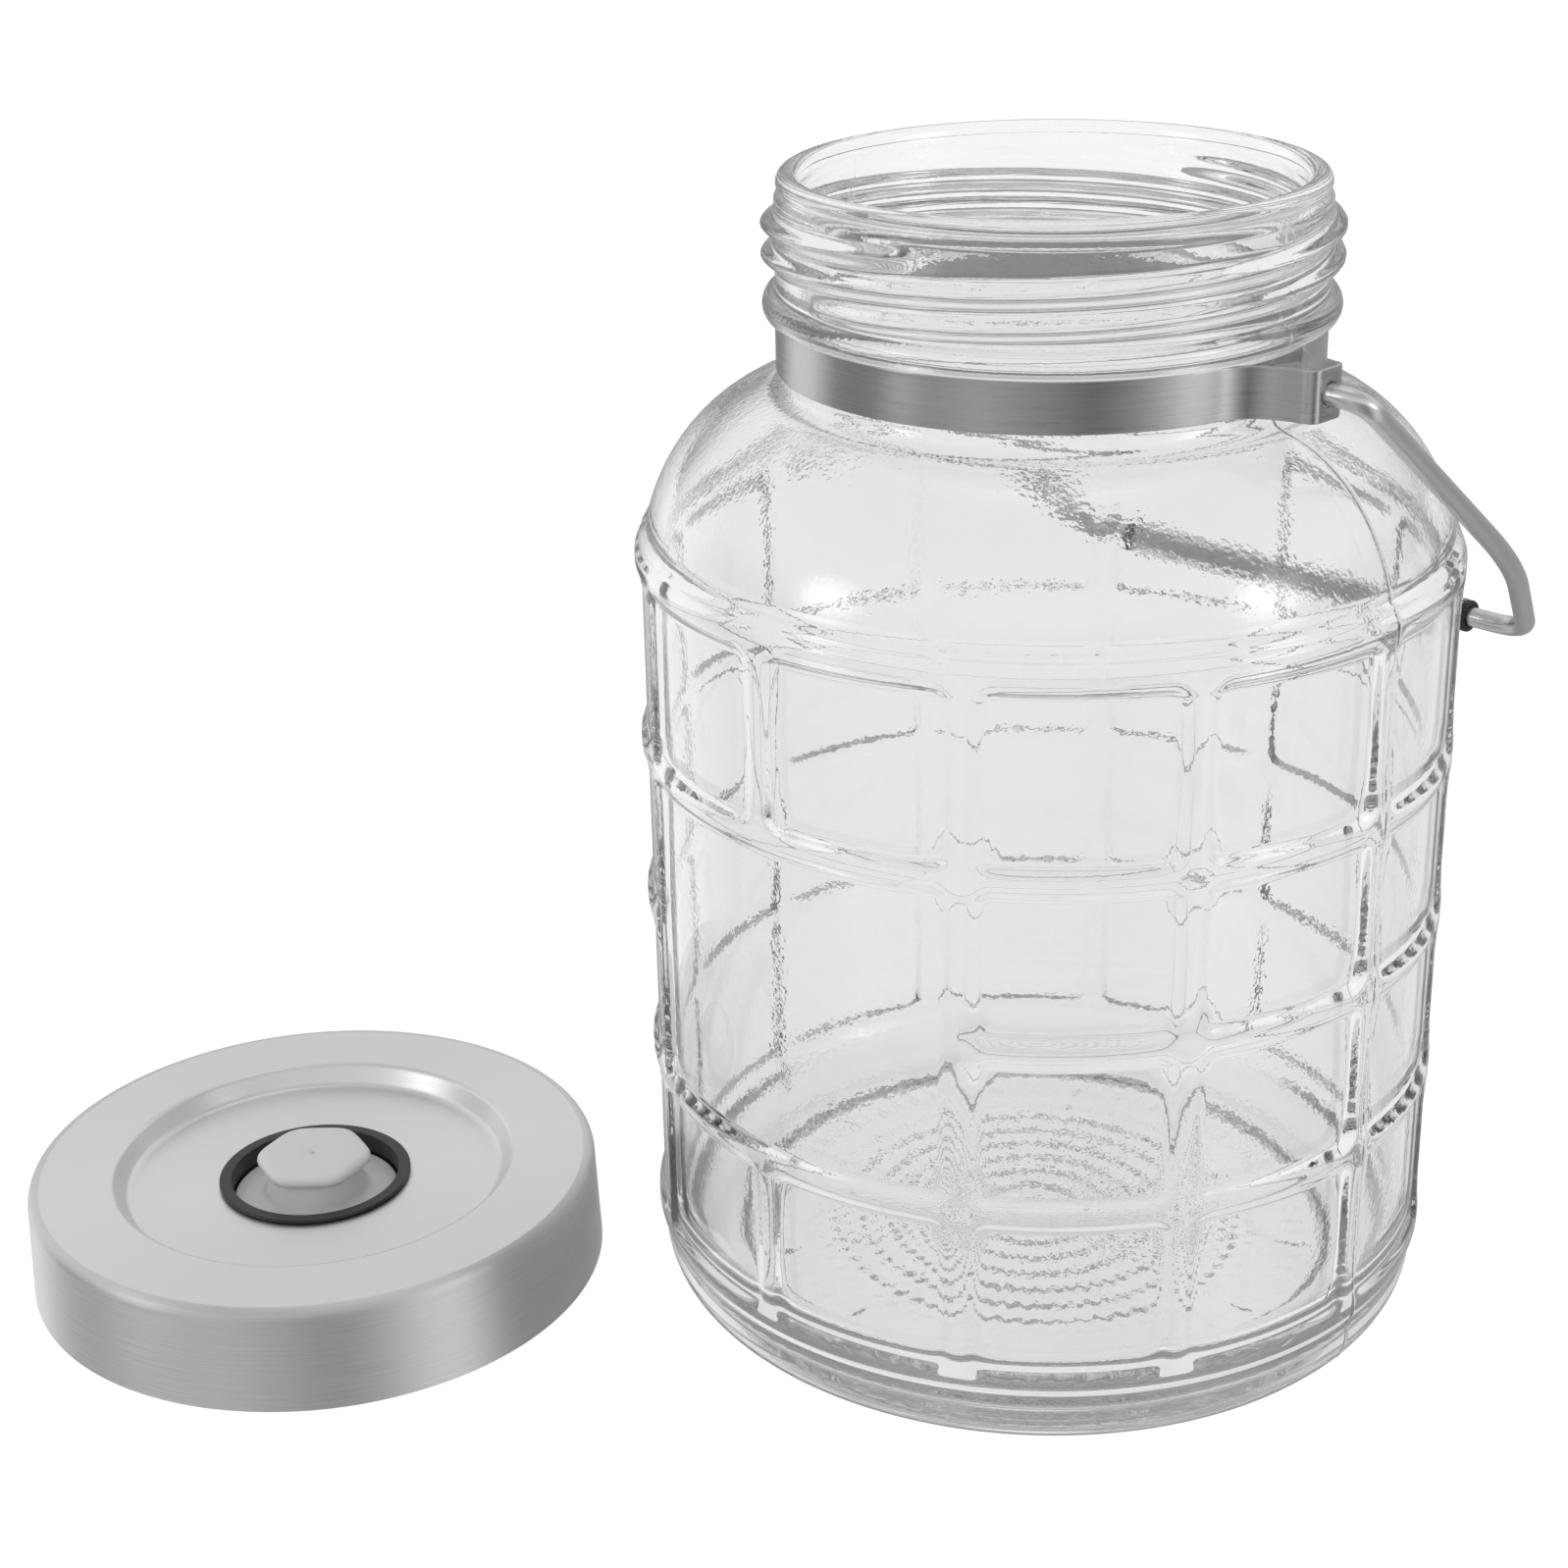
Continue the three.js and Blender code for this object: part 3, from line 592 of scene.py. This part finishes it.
def strap_line(settings):
    """Middle line of the strap in plan: a circle round the neck that swings out into a loop at each side."""
    ring = settings.neck_radius + settings.clearance + settings.thickness / 2
    reach = settings.reach - settings.thickness / 2
    side = settings.half_width - settings.thickness / 2
    corner, flare = settings.corner, settings.flare
    leave = np.array([ring * math.cos(flare), -ring * math.sin(flare)])
    quarter = arc((0, 0), ring, ring, -90, -math.degrees(flare), 60)
    swing = curve([leave, leave + np.array([2.2, 7]) * MM, (reach - 8 * MM, -side - 1.2 * MM),
                   (reach - corner, -side)], 26)
    turn = curve([(reach - corner, -side), (reach, -side), (reach, -side + corner)], 8)
    half = np.concatenate([quarter[:-1], swing[:-1], turn, line((reach, -1.3 * MM), (reach, 0), 2)[:-1]])
    right = np.concatenate([half, [(reach, 0)], half[:0:-1] * (1, -1)])
    return np.concatenate([right, -right])


class JAR_OT_band(Operator):
    """Makes the steel strap round the neck, with a drilled loop on each side"""

    bl_idname = "jar.band"
    bl_label = "Neck band"

    def execute(self, context):
        settings = context.scene.jar_band
        middle = strap_line(settings)
        ahead = np.roll(middle, -1, axis=0) - np.roll(middle, 1, axis=0)
        ahead /= np.linalg.norm(ahead, axis=1, keepdims=True)
        outward = np.column_stack([ahead[:, 1], -ahead[:, 0]])
        t, low, high = settings.thickness / 2, BAND_LOW.z, BAND_HIGH.z
        section = rounded([(t, low), (t, high), (-t, high), (-t, low)], settings.edge, True, 3)
        plan = turned(middle[None] + outward[None] * section[:, None, :1], settings.bearing)
        height = np.repeat(section[:, 1:], len(middle), axis=1)
        points = np.concatenate([plan, height[..., None]], axis=-1)
        material = brushed_steel("brushed stainless strap", settings.steel, roughness=0.31, stretch=0.9,
                                 grain_mm=0.35, streak_mm=22, contrast=0.3)
        band = add_piece("band_strap", points, travelled(middle, True), travelled(section, True), True,
                         material, JAR_BODY, ["neck_band"])
        drill_loops(band, settings)
        keep_flats_flat(band)
        return {"FINISHED"}


def drill_loops(band, settings):
    """Cuts the round hole through the end face of each loop."""
    bpy.ops.mesh.primitive_cylinder_add(vertices=48, radius=settings.hole, depth=settings.reach * 2.2)
    drill = bpy.context.object
    middle = Vector((JAR_AXIS.x, JAR_AXIS.y, PIVOT_HEIGHT))
    drill.matrix_world = (Matrix.Translation(middle) @ Matrix.Rotation(settings.bearing, 4, "Z")
                          @ Matrix.Rotation(math.pi / 2, 4, "X"))
    cut = band.modifiers.new("pivot holes", "BOOLEAN")
    cut.operation = "DIFFERENCE"
    cut.solver = "EXACT"
    cut.object = drill
    bpy.context.view_layer.objects.active = band
    bpy.ops.object.modifier_apply(modifier=cut.name)
    bpy.data.objects.remove(drill)


def handle_point(along, down, settings):
    """A point of the hanging handle's plane: along the pivot axis from the middle, and down the slope."""
    b, h = settings_bearing(), settings.hang
    axis = np.array([math.sin(b), -math.cos(b), 0])
    slope = np.array([math.cos(b) * math.cos(h), math.sin(b) * math.cos(h), -math.sin(h)])
    pivot = np.array([JAR_AXIS.x, JAR_AXIS.y, PIVOT_HEIGHT])
    return pivot + np.asarray(along)[..., None] * axis + np.asarray(down)[..., None] * slope


def settings_bearing():
    return bpy.context.scene.jar_band.bearing


def sweep(path, radius, settings, sides):
    """A tube in the handle's plane: path (along, down) plus radius (cos a, sin a) in its own normal and the
    plane's normal."""
    ahead = np.gradient(path, axis=0)
    ahead /= np.linalg.norm(ahead, axis=1, keepdims=True)
    beside = np.column_stack([-ahead[:, 1], ahead[:, 0]])
    a = np.linspace(0, 2 * np.pi, sides, endpoint=False)
    across, above = (radius[:, None, None] * share[None, :, None] for share in (np.cos(a), np.sin(a)))
    flat = path[:, None] + beside[:, None] * across
    origin = handle_point(0, 0, settings)
    plane = np.cross(handle_point(1, 0, settings) - origin, handle_point(0, 1, settings) - origin)
    return handle_point(flat[..., 0], flat[..., 1], settings) + plane * above


def grip_drop():
    """Distance of the grip bar from the pivot, down the slope, from the middle of the frame's sleeve."""
    low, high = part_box("grip_sleeve")
    middle = (low + high) / 2 - Vector((JAR_AXIS.x, JAR_AXIS.y, PIVOT_HEIGHT))
    return middle.length


def wire_side(settings):
    """Middle line of half the wire with its radius: a domed head, the shank, the bends and the bar."""
    drop = grip_drop()
    end, wire, head = settings.end, settings.wire, settings.head
    corners = [(end + 0.7 * MM, 0), (settings.shank, 0), (settings.elbow, settings.elbow_drop),
               (settings.corner, drop), (0, drop)]
    body = rounded(corners, np.array([0, 6, 14, 8, 0]) * MM, False, 14)
    keep = np.append(True, np.linalg.norm(np.diff(body, axis=0), axis=1) > 1e-6)
    body = body[keep]
    start = end - 0.7 * MM
    offsets = np.array([0, 0, 0.15, 0.4, 1.0, 1.25, 1.4, 1.4]) * MM + start
    widths = np.array([0, head - 0.5 * MM, head - 0.15 * MM, head, head, head - 0.15 * MM, head - 0.4 * MM,
                       wire])
    cap = np.column_stack([offsets, np.zeros(len(offsets))])
    path = np.concatenate([cap, body[1:]])
    return path, np.concatenate([widths, np.full(len(body) - 1, wire)])


class JAR_OT_handle(Operator):
    """Makes the bent wire with a head inside each loop"""

    bl_idname = "jar.handle"
    bl_label = "Wire handle"

    def execute(self, context):
        settings = context.scene.jar_handle
        side, width = wire_side(settings)
        path = np.concatenate([side, side[-2::-1] * (-1, 1)])
        radius = np.concatenate([width, width[-2::-1]])
        # Some points of the heads share a place, and this small step gives them a direction
        step = np.linspace(0, 1e-9, len(path))[:, None]
        sides = 28
        points = sweep(path + step, radius, settings, sides)
        around = np.linspace(0, 2 * np.pi, sides + 1) * settings.wire
        add_piece("handle_bail", points, around, travelled(path, False), False, drawn_wire(settings.steel),
                  HANDLE_BODY, ["handle_wire"])
        return {"FINISHED"}


def add_collar(name, outer, inner, start, end, edge, settings, material, stands_for):
    """A round-edged tube on the grip bar: the profile rectangle turned about the bar."""
    section = rounded([(inner, start), (outer, start), (outer, end), (inner, end)], edge, True, 4)
    a = np.linspace(0, 2 * np.pi, 48, endpoint=False)
    origin = handle_point(0, 0, settings)
    down = handle_point(0, 1, settings) - origin
    plane = np.cross(handle_point(1, 0, settings) - origin, down)
    bar = handle_point(section[:, 1], grip_drop(), settings)[:, None]
    spokes = down * np.cos(a)[:, None] + plane * np.sin(a)[:, None]
    points = bar + section[:, :1, None] * spokes[None]
    piece = add_piece(name, points, np.linspace(0, 2 * np.pi, 49) * outer, travelled(section, True), True,
                      material, HANDLE_BODY, stands_for)
    keep_flats_flat(piece)


class JAR_OT_grip(Operator):
    """Makes the clear sleeve on the bar and the black ring at each of its ends"""

    bl_idname = "jar.grip"
    bl_label = "Grip"

    def execute(self, context):
        settings = context.scene.jar_handle
        rubber = moulded("black nitrile rubber", settings.rubber, roughness=0.5, grain_mm=0.5, depth_mm=0.02,
                         IOR=1.52)
        clear = moulded("clear vinyl tube", settings.sleeve, roughness=0.12, grain_mm=3, depth_mm=0.02,
                        IOR=1.53, Transmission_Weight=0.9)
        half, outer, inner = 0.8 * MM, 3.5 * MM, 2.2 * MM
        for name, sign in (("grip_ring_near", 1), ("grip_ring_far", -1)):
            at = sign * settings.grip
            add_collar(name.replace("grip", "rubber"), outer, inner, at - half, at + half, 0.5 * MM, settings,
                       rubber, [name])
        end = settings.grip - 1.1 * MM
        add_collar("clear_sleeve", 3.6 * MM, 2.3 * MM, -end, end, 0.25 * MM, settings, clear,
                   ["grip_sleeve"])
        return {"FINISHED"}


def lid_levels(settings):
    """Heights inside the lid that the liner, the gasket and the valve share."""
    floor = settings.height - settings.recess_depth
    lip_top = floor + 1.1 * MM
    ceiling = settings.height - settings.sheet - 2.6 * MM
    return floor, lip_top, ceiling, lip_top - 5.6 * MM


class JAR_OT_shell(Operator):
    """Makes the pressed steel shell of the lid"""

    bl_idname = "jar.shell"
    bl_label = "Lid shell"

    def execute(self, context):
        s = context.scene.jar_lid
        top, sheet = s.height, s.sheet
        floor = lid_levels(s)[0]
        low = LID_LOW.z
        outline = [
            (s.bottom_radius, low), (s.top_radius, top), (s.recess_radius, top), (s.recess_floor, floor),
            (20.6 * MM, floor), (20.6 * MM, floor - sheet), (s.recess_floor + sheet / 2, floor - sheet),
            (s.recess_radius + sheet / 2, top - sheet), (s.top_radius - sheet, top - sheet),
            (s.bottom_radius - sheet, low),
        ]
        radii = np.array([0.25, s.corner / MM, 0.9, 1.1, 0.2, 0.2, 1.1, 0.6, s.corner / MM - 0.8, 0.25]) * MM
        profile = rounded(outline, radii, True, 8)
        side = brushed_steel("brushed stainless lid side", s.steel, roughness=0.52, stretch=0.85,
                             grain_mm=0.35, streak_mm=22, contrast=0.26)
        shell = add_revolved("lid_steel_shell", profile, LID_AXIS, 256, True, side, JAR_BODY,
                             ["lid_shell"])
        shell.data.materials.append(brushed_steel("satin stainless lid top", s.steel, roughness=0.4,
                                                  stretch=0.35, grain_mm=0.5, streak_mm=60, contrast=0.08))
        centres = np.empty(len(shell.data.polygons) * 3)
        shell.data.polygons.foreach_get("center", centres)
        centres = centres.reshape(-1, 3)
        radius = np.hypot(centres[:, 0] - LID_AXIS.x, centres[:, 1] - LID_AXIS.y)
        is_top = (radius < s.top_radius - s.corner) & (centres[:, 2] > floor - sheet / 2)
        shell.data.polygons.foreach_set("material_index", is_top.astype(np.int32))
        return {"FINISHED"}


class JAR_OT_liner(Operator):
    """Makes the black liner with its collar, and the gasket inside it"""

    bl_idname = "jar.liner"
    bl_label = "Liner and gasket"

    def execute(self, context):
        s = context.scene.jar_lid
        floor, lip_top, ceiling, well = lid_levels(s)
        web, gap, neck = 2 * MM, 0.3 * MM, 20.2 * MM
        plate = floor - s.sheet - gap
        outline = [
            (62 * MM, 0), (61.1 * MM, s.height - s.corner - gap), (s.top_radius - s.corner, ceiling + web),
            (s.recess_radius + s.sheet + gap, ceiling + web), (s.recess_floor + s.sheet, plate),
            (neck, plate), (neck, floor + gap), (s.collar, floor + gap), (s.collar, lip_top),
            (s.well, lip_top), (s.well, well), (5 * MM, well), (5 * MM, well - web), (s.collar, well - web),
            (s.collar, plate - web), (s.recess_floor + web, plate - web),
            (s.recess_radius + s.sheet + gap + web, ceiling), (57.6 * MM, ceiling), (58.2 * MM, 0),
        ]
        profile = rounded(outline, 0.3 * MM, True, 3)
        plastic = moulded("black polypropylene", s.plastic, roughness=0.38, grain_mm=0.8, depth_mm=0.02,
                          IOR=1.49)
        add_revolved("lid_inner_liner", profile, LID_AXIS, 160, True, plastic, JAR_BODY,
                     ["lid_liner"])
        top = ceiling - gap
        low, inner, outer = top - 1.4 * MM, 48.5 * MM, 56.5 * MM
        ring = rounded([(inner, low), (outer, low), (outer, top), (inner, top)], 0.5 * MM, True, 4)
        silicone = silicone_rubber("white silicone gasket", s.silicone)
        add_revolved("lid_seal_ring", ring, LID_AXIS, 160, True, silicone, JAR_BODY,
                     ["lid_gasket"])
        return {"FINISHED"}


def silicone_rubber(name, tint):
    """Translucent white silicone: a soft satin highlight, and light that spreads a little inside."""
    return moulded(name, tint, roughness=0.36, grain_mm=0.9, depth_mm=0.015, IOR=1.41,
                   Subsurface_Weight=0.25, Subsurface_Radius=(0.004, 0.004, 0.004), Subsurface_Scale=0.5)


def six_sided(turn, corner):
    """Radius of a rounded hexagon: its inradius over the p-norm of the positive cosines to its six flats.
    A higher p makes sharper corners."""
    p = 9
    flats = turn[..., None] - (np.arange(6) + 0.5) * np.pi / 3
    pull = np.maximum(np.cos(flats), 0) ** p
    return corner * math.cos(np.pi / 6) / pull.sum(axis=-1) ** (1 / p)


class JAR_OT_valve(Operator):
    """Makes the silicone valve: plug, flange, waisted foot and six-sided cap with a pin hole"""

    bl_idname = "jar.valve"
    bl_label = "Valve"

    def execute(self, context):
        s = context.scene.jar_lid
        _, lip_top, _, well = lid_levels(s)
        mm = 1 / MM
        level = (lip_top + 2 * MM) * mm
        flange = (well + 1.3 * MM) * mm
        plug = (well - 2.3 * MM) * mm
        foot = [(0, plug - 2.4), (5.5, plug - 2.4), (7, plug), (4.6, plug), (4.6, flange - 1),
                (18, flange - 1), (18, flange), (11, flange), (9.8, level), (9.6, level)]
        low = rounded(foot, [0, 0.8, 0.6, 0.2, 0.2, 0.3, 0.4, 1.6, 0.2, 0], False, 5)
        cap = s.cap * mm
        high = [(9.6, level), (cap - 1.6, level), (cap - 0.7, level + 0.25), (cap - 0.15, level + 0.8),
                (cap, level + 1.4), (cap - 0.1, level + 2.0), (cap - 0.45, level + 2.5),
                (cap - 1.1, level + 2.85), (cap - 2, level + 3), (cap - 5, level + 3), (4, level + 3),
                (0.8, level + 3), (0.45, level + 2.8), (0.35, level + 2.2), (0, level + 2.1)]
        profile = np.concatenate([low, high]) * MM
        columns = 120
        turn = np.linspace(0, 2 * np.pi, columns, endpoint=False)
        points = revolve(profile, (0, 0), columns)
        squared = np.concatenate([np.zeros(len(low) + 1), np.ones(len(high) - 1)])
        squared = squared * np.clip((profile[:, 0] - 1 * MM) / (4 * MM), 0, 1)
        shape = 1 + squared[:, None] * (six_sided(turn - 5.6 * DEGREE, 1.0)[None] - 1)
        points[..., :2] *= shape[..., None]
        points[..., :2] += np.array(LID_AXIS)
        around = np.linspace(0, 2 * np.pi, columns + 1) * s.cap
        piece = add_piece("lid_valve_knob", points, around, travelled(profile, False), False,
                          silicone_rubber("white silicone valve", s.silicone), JAR_BODY,
                          ["lid_valve"])
        keep_flats_flat(piece)
        return {"FINISHED"}


def add_soft_box(name, bearing, rise, distance, size, power):
    """A square soft light seen from the jar at a bearing and a rise above the floor, in degrees. It faces the
    jar, and is brightest in its middle."""
    light = bpy.data.lights.new(name, "AREA")
    light.size = size
    light.energy = power
    light.use_nodes = True
    tree = light.node_tree
    across = node(tree, "ShaderNodeNewGeometry").outputs["Parametric"]
    offset = node(tree, "ShaderNodeVectorMath", {0: across, 1: (0.5, 0.5, 0)}, operation="DISTANCE")
    fall = node(tree, "ShaderNodeMapRange",
                {"Value": offset.outputs["Value"], "From Min": 0.0, "From Max": 0.5, "To Min": 1.6,
                 "To Max": 0.0}, interpolation_type="SMOOTHSTEP")
    tree.links.new(fall.outputs["Result"], tree.nodes["Emission"].inputs["Strength"])
    lamp = bpy.data.objects.new(name, light)
    middle = Vector((0, 0, 0.12))
    b, r = bearing * DEGREE, rise * DEGREE
    aim = Vector((math.sin(b) * math.cos(r), -math.cos(b) * math.cos(r), math.sin(r)))
    lamp.location = middle + aim * distance
    lamp.rotation_euler = (-aim).to_track_quat("-Z", "Y").to_euler()
    bpy.context.scene.collection.objects.link(lamp)


def add_backdrop():
    """A white wall all round, which only the camera sees: it ends the floor in any view."""
    bpy.ops.mesh.primitive_cylinder_add(vertices=96, radius=7.9, depth=12, end_fill_type="NOTHING")
    wall = bpy.context.object
    wall.name = "studio_backdrop"
    wall.data.materials.append(new_material(
        "lit white backdrop", Base_Color=(0, 0, 0, 1), Emission_Color=(1, 1, 1, 1), Emission_Strength=1.0)[0])
    for ray in ("diffuse", "glossy", "transmission", "shadow", "volume_scatter"):
        setattr(wall, "visible_" + ray, False)


def add_surround(settings):
    """A white studio surround that is darker in a few upright bands, which draw the glass's edges."""
    world = bpy.data.worlds.new("studio surround")
    bpy.context.scene.world = world
    world.use_nodes = True
    tree = world.node_tree
    direction = node(tree, "ShaderNodeTexCoord").outputs["Generated"]
    parts = node(tree, "ShaderNodeSeparateXYZ", {0: direction}).outputs
    turn = node(tree, "ShaderNodeMath", {0: parts["Y"], 1: parts["X"]}, operation="ARCTAN2")
    round_trip = node(tree, "ShaderNodeMapRange", {"Value": turn.outputs["Value"], "From Min": -math.pi,
                                                   "From Max": math.pi})
    bands = node(tree, "ShaderNodeValToRGB", {"Fac": round_trip.outputs["Result"]})
    ramp = bands.color_ramp.elements
    while len(ramp) < len(SURROUND_STOPS):
        ramp.new(0.5)
    for element, (place, level) in zip(ramp, SURROUND_STOPS):
        element.position = place
        element.color = (level, level, level, 1)
    up = node(tree, "ShaderNodeMapRange", {"Value": parts["Z"], "From Min": 0.12, "From Max": 0.36})
    ceiling = node(tree, "ShaderNodeMapRange", {"Value": parts["Z"], "From Min": 0.55, "From Max": 0.85,
                                                "To Min": 1.18, "To Max": 0.7})
    mixed = node(tree, "ShaderNodeMix", {"Factor": up.outputs["Result"], "A": bands.outputs["Color"],
                                         "B": ceiling.outputs["Result"]}, data_type="RGBA")
    shade = tree.nodes["Background"]
    tree.links.new(mixed.outputs["Result"], shade.inputs["Color"])
    shade.inputs["Strength"].default_value = settings.sky


def add_camera():
    """The photograph's view: 65.7 mm on a 36 mm frame, 559 mm in front of the jar and 345 mm up."""
    focal_pixels, frame_pixels, sensor_mm = 2914.6, 1598, 36
    pitch, yaw, roll = 22.80 * DEGREE, -5.58 * DEGREE, 1.15 * DEGREE
    ahead = Vector((math.sin(yaw) * math.cos(pitch), math.cos(yaw) * math.cos(pitch), -math.sin(pitch)))
    right = Vector((math.cos(yaw), -math.sin(yaw), 0))
    down = ahead.cross(right)
    level_right = math.cos(roll) * right + math.sin(roll) * down
    level_down = -math.sin(roll) * right + math.cos(roll) * down
    data = bpy.data.cameras.new("photo camera")
    data.sensor_width = sensor_mm
    data.lens = sensor_mm * focal_pixels / frame_pixels
    camera = bpy.data.objects.new("photo camera", data)
    turn = Matrix((level_right, -level_down, -ahead)).transposed()
    place = Vector((JAR_AXIS.x, JAR_AXIS.y - 558.8 * MM, 345.1 * MM))
    camera.matrix_world = Matrix.Translation(place) @ turn.to_4x4()
    bpy.context.scene.collection.objects.link(camera)
    bpy.context.scene.camera = camera


class JAR_OT_stage(Operator):
    """Makes the floor, the soft light and the camera"""

    bl_idname = "jar.stage"
    bl_label = "Stage"

    def execute(self, context):
        settings = context.scene.jar_stage
        bpy.ops.mesh.primitive_plane_add(size=16)
        floor = context.object
        floor.name = "studio_floor"
        floor.data.materials.append(new_material(
            "matt white light table", Base_Color=rgba(settings.floor), Roughness=0.9,
            Emission_Color=(1, 1, 1, 1), Emission_Strength=settings.glow)[0])
        floor.visible_glossy = False
        add_backdrop()
        add_surround(settings)
        add_soft_box("left soft box", -60, 17, 1.3, 0.65, settings.key)
        add_soft_box("right soft box", 64, 18, 1.3, 0.65, settings.key)
        add_soft_box("top soft box", 170, 76, 1.6, 1.4, settings.key)
        add_camera()
        context.scene.view_settings.view_transform = "Standard"
        for kind in ("max_bounces", "glossy_bounces", "transmission_bounces"):
            setattr(context.scene.cycles, kind, LIGHT_BOUNCES)
        return {"FINISHED"}


OPERATORS = (JAR_OT_stage, JAR_OT_glass, JAR_OT_band, JAR_OT_handle, JAR_OT_grip, JAR_OT_shell, JAR_OT_liner,
             JAR_OT_valve)
GROUPS = {"jar_glass": JarSettings, "jar_band": BandSettings, "jar_handle": HandleSettings,
          "jar_lid": LidSettings, "jar_stage": StageSettings}


class JAR_PT_pieces(Panel):
    """Lists the pieces with the sizes and colours they are made from"""

    bl_idname = "JAR_PT_pieces"
    bl_label = "Fermentation jar"
    bl_space_type = "VIEW_3D"
    bl_region_type = "UI"
    bl_category = "Jar"

    def draw(self, context):
        for operator in OPERATORS:
            self.layout.operator(operator.bl_idname)
        for key, group in GROUPS.items():
            box = self.layout.box()
            for name in group.__annotations__:
                box.prop(getattr(context.scene, key), name)


def register():
    for group in GROUPS.values():
        bpy.utils.register_class(group)
    for key, group in GROUPS.items():
        setattr(bpy.types.Scene, key, PointerProperty(type=group))
    for operator in OPERATORS:
        bpy.utils.register_class(operator)
    bpy.utils.register_class(JAR_PT_pieces)


def unregister():
    bpy.utils.unregister_class(JAR_PT_pieces)
    for operator in reversed(OPERATORS):
        bpy.utils.unregister_class(operator)
    for key, group in GROUPS.items():
        delattr(bpy.types.Scene, key)
        bpy.utils.unregister_class(group)


def main():
    register()
    bpy.ops.jar.stage()
    bpy.ops.jar.glass()
    bpy.ops.jar.band()
    bpy.ops.jar.handle()
    bpy.ops.jar.grip()
    bpy.ops.jar.shell()
    bpy.ops.jar.liner()
    bpy.ops.jar.valve()
    bpy.context.view_layer.update()


if __name__ == "__main__":
    main()
